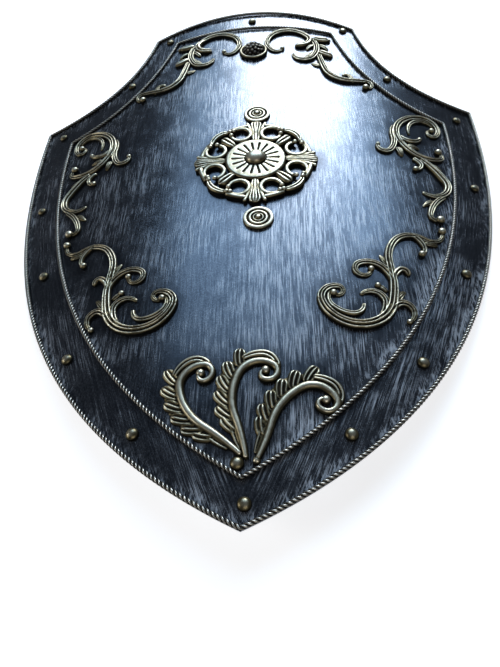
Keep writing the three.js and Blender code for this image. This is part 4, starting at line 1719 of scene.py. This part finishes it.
@dataclass(frozen=True)
class Studio:
    """The pale floor, the soft lights and the camera at the photograph's viewing angle."""

    camera_at: tuple[float, float, float] = (28.4, -385.6, 300.8)
    yaw: float = 7.116
    pitch: float = 34.147
    roll: float = -7.368
    focal_pixels: float = 520.0
    sensor: float = 36.0
    floor_half: float = 4.0
    room_colour: Colour = (0.75, 0.82, 0.95)
    room_strength: float = 0.06

    def floor(self) -> None:
        """Lays the floor."""
        corners = self.floor_half * np.array([(-1, -1, 0), (1, -1, 0), (1, 1, 0), (-1, 1, 0)])
        mesh = MeshMaker.mesh("floor", corners, [(0, 1, 2, 3)])
        mesh.materials.append(PaleFloorFinish().material())
        MeshMaker.linked("floor", mesh)

    def world(self) -> None:
        """Fills the room with a dim, even light."""
        world = bpy.data.worlds.new("room")
        world.use_nodes = True
        tree = NodeTree(world.node_tree)
        even = {"Color": (*self.room_colour, 1.0), "Strength": self.room_strength}
        back = tree.add("ShaderNodeBackground", even)
        tree.add("ShaderNodeOutputWorld", {"Surface": back.outputs[0]})
        bpy.context.scene.world = world
        bpy.context.scene.view_settings.view_transform = "Standard"

    def camera(self) -> None:
        """Sets the camera."""
        data = bpy.data.cameras.new("camera")
        data.sensor_fit = "AUTO"
        data.sensor_width = self.sensor
        data.lens = self.focal_pixels / IMAGE_LONG_SIDE * self.sensor
        data.clip_start = 0.01
        obj = bpy.data.objects.new("camera", data)
        turn = (
            Matrix.Rotation(math.radians(self.yaw), 4, "Z")
            @ Matrix.Rotation(math.radians(self.pitch), 4, "X")
            @ Matrix.Rotation(math.radians(self.roll), 4, "Z")
        )
        place = Matrix.Translation(Vector(self.camera_at) * MM)
        obj.matrix_world = SHEET.pose() @ place @ turn
        bpy.context.scene.collection.objects.link(obj)
        bpy.context.scene.camera = obj

    def build(self) -> None:
        """Sets up the whole studio."""
        self.floor()
        self.world()
        for light in LIGHTS:
            light.hang()
        self.camera()


SCROLLS = {"crest_scroll": CREST_SCROLL, "upper_scroll": UPPER_SCROLL, "lower_scroll": LOWER_SCROLL}
PLUMES = (
    Plume("plume_left", (-4.5, -268.3), 135.5, foot_reach=6.0),
    Plume("plume_middle", (2, -271.5), 99),
    Plume("plume_right", (8.9, -275.4), 63.6, foot_knob=2.6, foot_reach=0.0),
)
RINGED_DISC = (
    (0.0, -0.2), (12.8, -0.2), (12.8, 1.9), (12.2, 2.8), (9.7, 2.9), (9.2, 1.6),
    (8.4, 1.6), (7.9, 2.9), (6.1, 3.0), (5.6, 1.7), (4.9, 1.7), (4.4, 3.0),
    (3.5, 3.0), (3.0, 1.9), (2.5, 3.2), (1.4, 4.3), (0.0, 4.4),
)
BRASS = PatinaFinish("antique_brass", (0.006, 0.006, 0.005), (0.125, 0.103, 0.054), (0.8, 0.74, 0.57))
WIRE = PatinaFinish("twisted_wire", (0.008, 0.008, 0.007), (0.13, 0.12, 0.1), (0.7, 0.67, 0.6), 0.3)
DARK_BRONZE = PatinaFinish("dark_bronze", (0.01, 0.008, 0.007), (0.05, 0.042, 0.034), (0.3, 0.27, 0.22), 0.6)
RING_CUP = ((11.6, -0.2), (15.2, -0.2), (15.2, 2.6), (14.2, 4.2), (12.4, 3.8), (11.7, 2.2))


def scroll_castings() -> dict[str, tuple[Stroke, ...]]:
    """The scrolls on both sides.

    Returns:
        The strokes of each scroll by its node's name.
    """
    found = {}
    for name, strokes in SCROLLS.items():
        found[f"{name}_right"] = strokes
        found[f"{name}_left"] = tuple(stroke.mirrored() for stroke in strokes)
    return found


def all_strokes() -> tuple[Stroke, ...]:
    """Every stroke on the sheet."""
    groups = [*scroll_castings().values(), *(plume.strokes() for plume in PLUMES), Roundel().strokes()]
    return tuple(stroke for group in groups for stroke in group)


def build_castings(brass: bpy.types.Material) -> None:
    """Builds the scrolls, the plumes, the roundel and the turned pieces.

    Args:
        brass: Their material.
    """
    for name, strokes in scroll_castings().items():
        Casting(name, strokes).build(brass)
    for plume in PLUMES:
        plume.build(brass)
    Roundel().build(brass)
    TurnedPiece("disc_upper", (5.5, 72), RINGED_DISC).build(brass)
    TurnedPiece("disc_lower", (8, -70.5), RINGED_DISC).build(brass)
    TurnedPiece("crest_ring", (0.5, 187), RING_CUP, closed=True).build(brass)


def main() -> None:
    """Builds the shield and its studio."""
    logging.basicConfig(level=logging.INFO, format="%(name)s: %(message)s")
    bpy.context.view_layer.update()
    effects = SharedEffects()
    iron = BrushedIronFinish("brushed_iron").material(effects)
    brass = BRASS.material(effects)
    wire = WIRE.material(effects)
    dark = DARK_BRONZE.material(effects)
    IronSheet(all_strokes()).build(iron)
    TwistedWire("rim_rope", RIM, 1.3).build(wire)
    TwistedWire("border_rope", BORDER, 0.0).build(wire)
    DomeRivets().build(brass)
    build_castings(brass)
    CrestBoss().build(dark)
    Studio().build()
    bpy.context.view_layer.update()


if __name__ == "__main__":
    main()
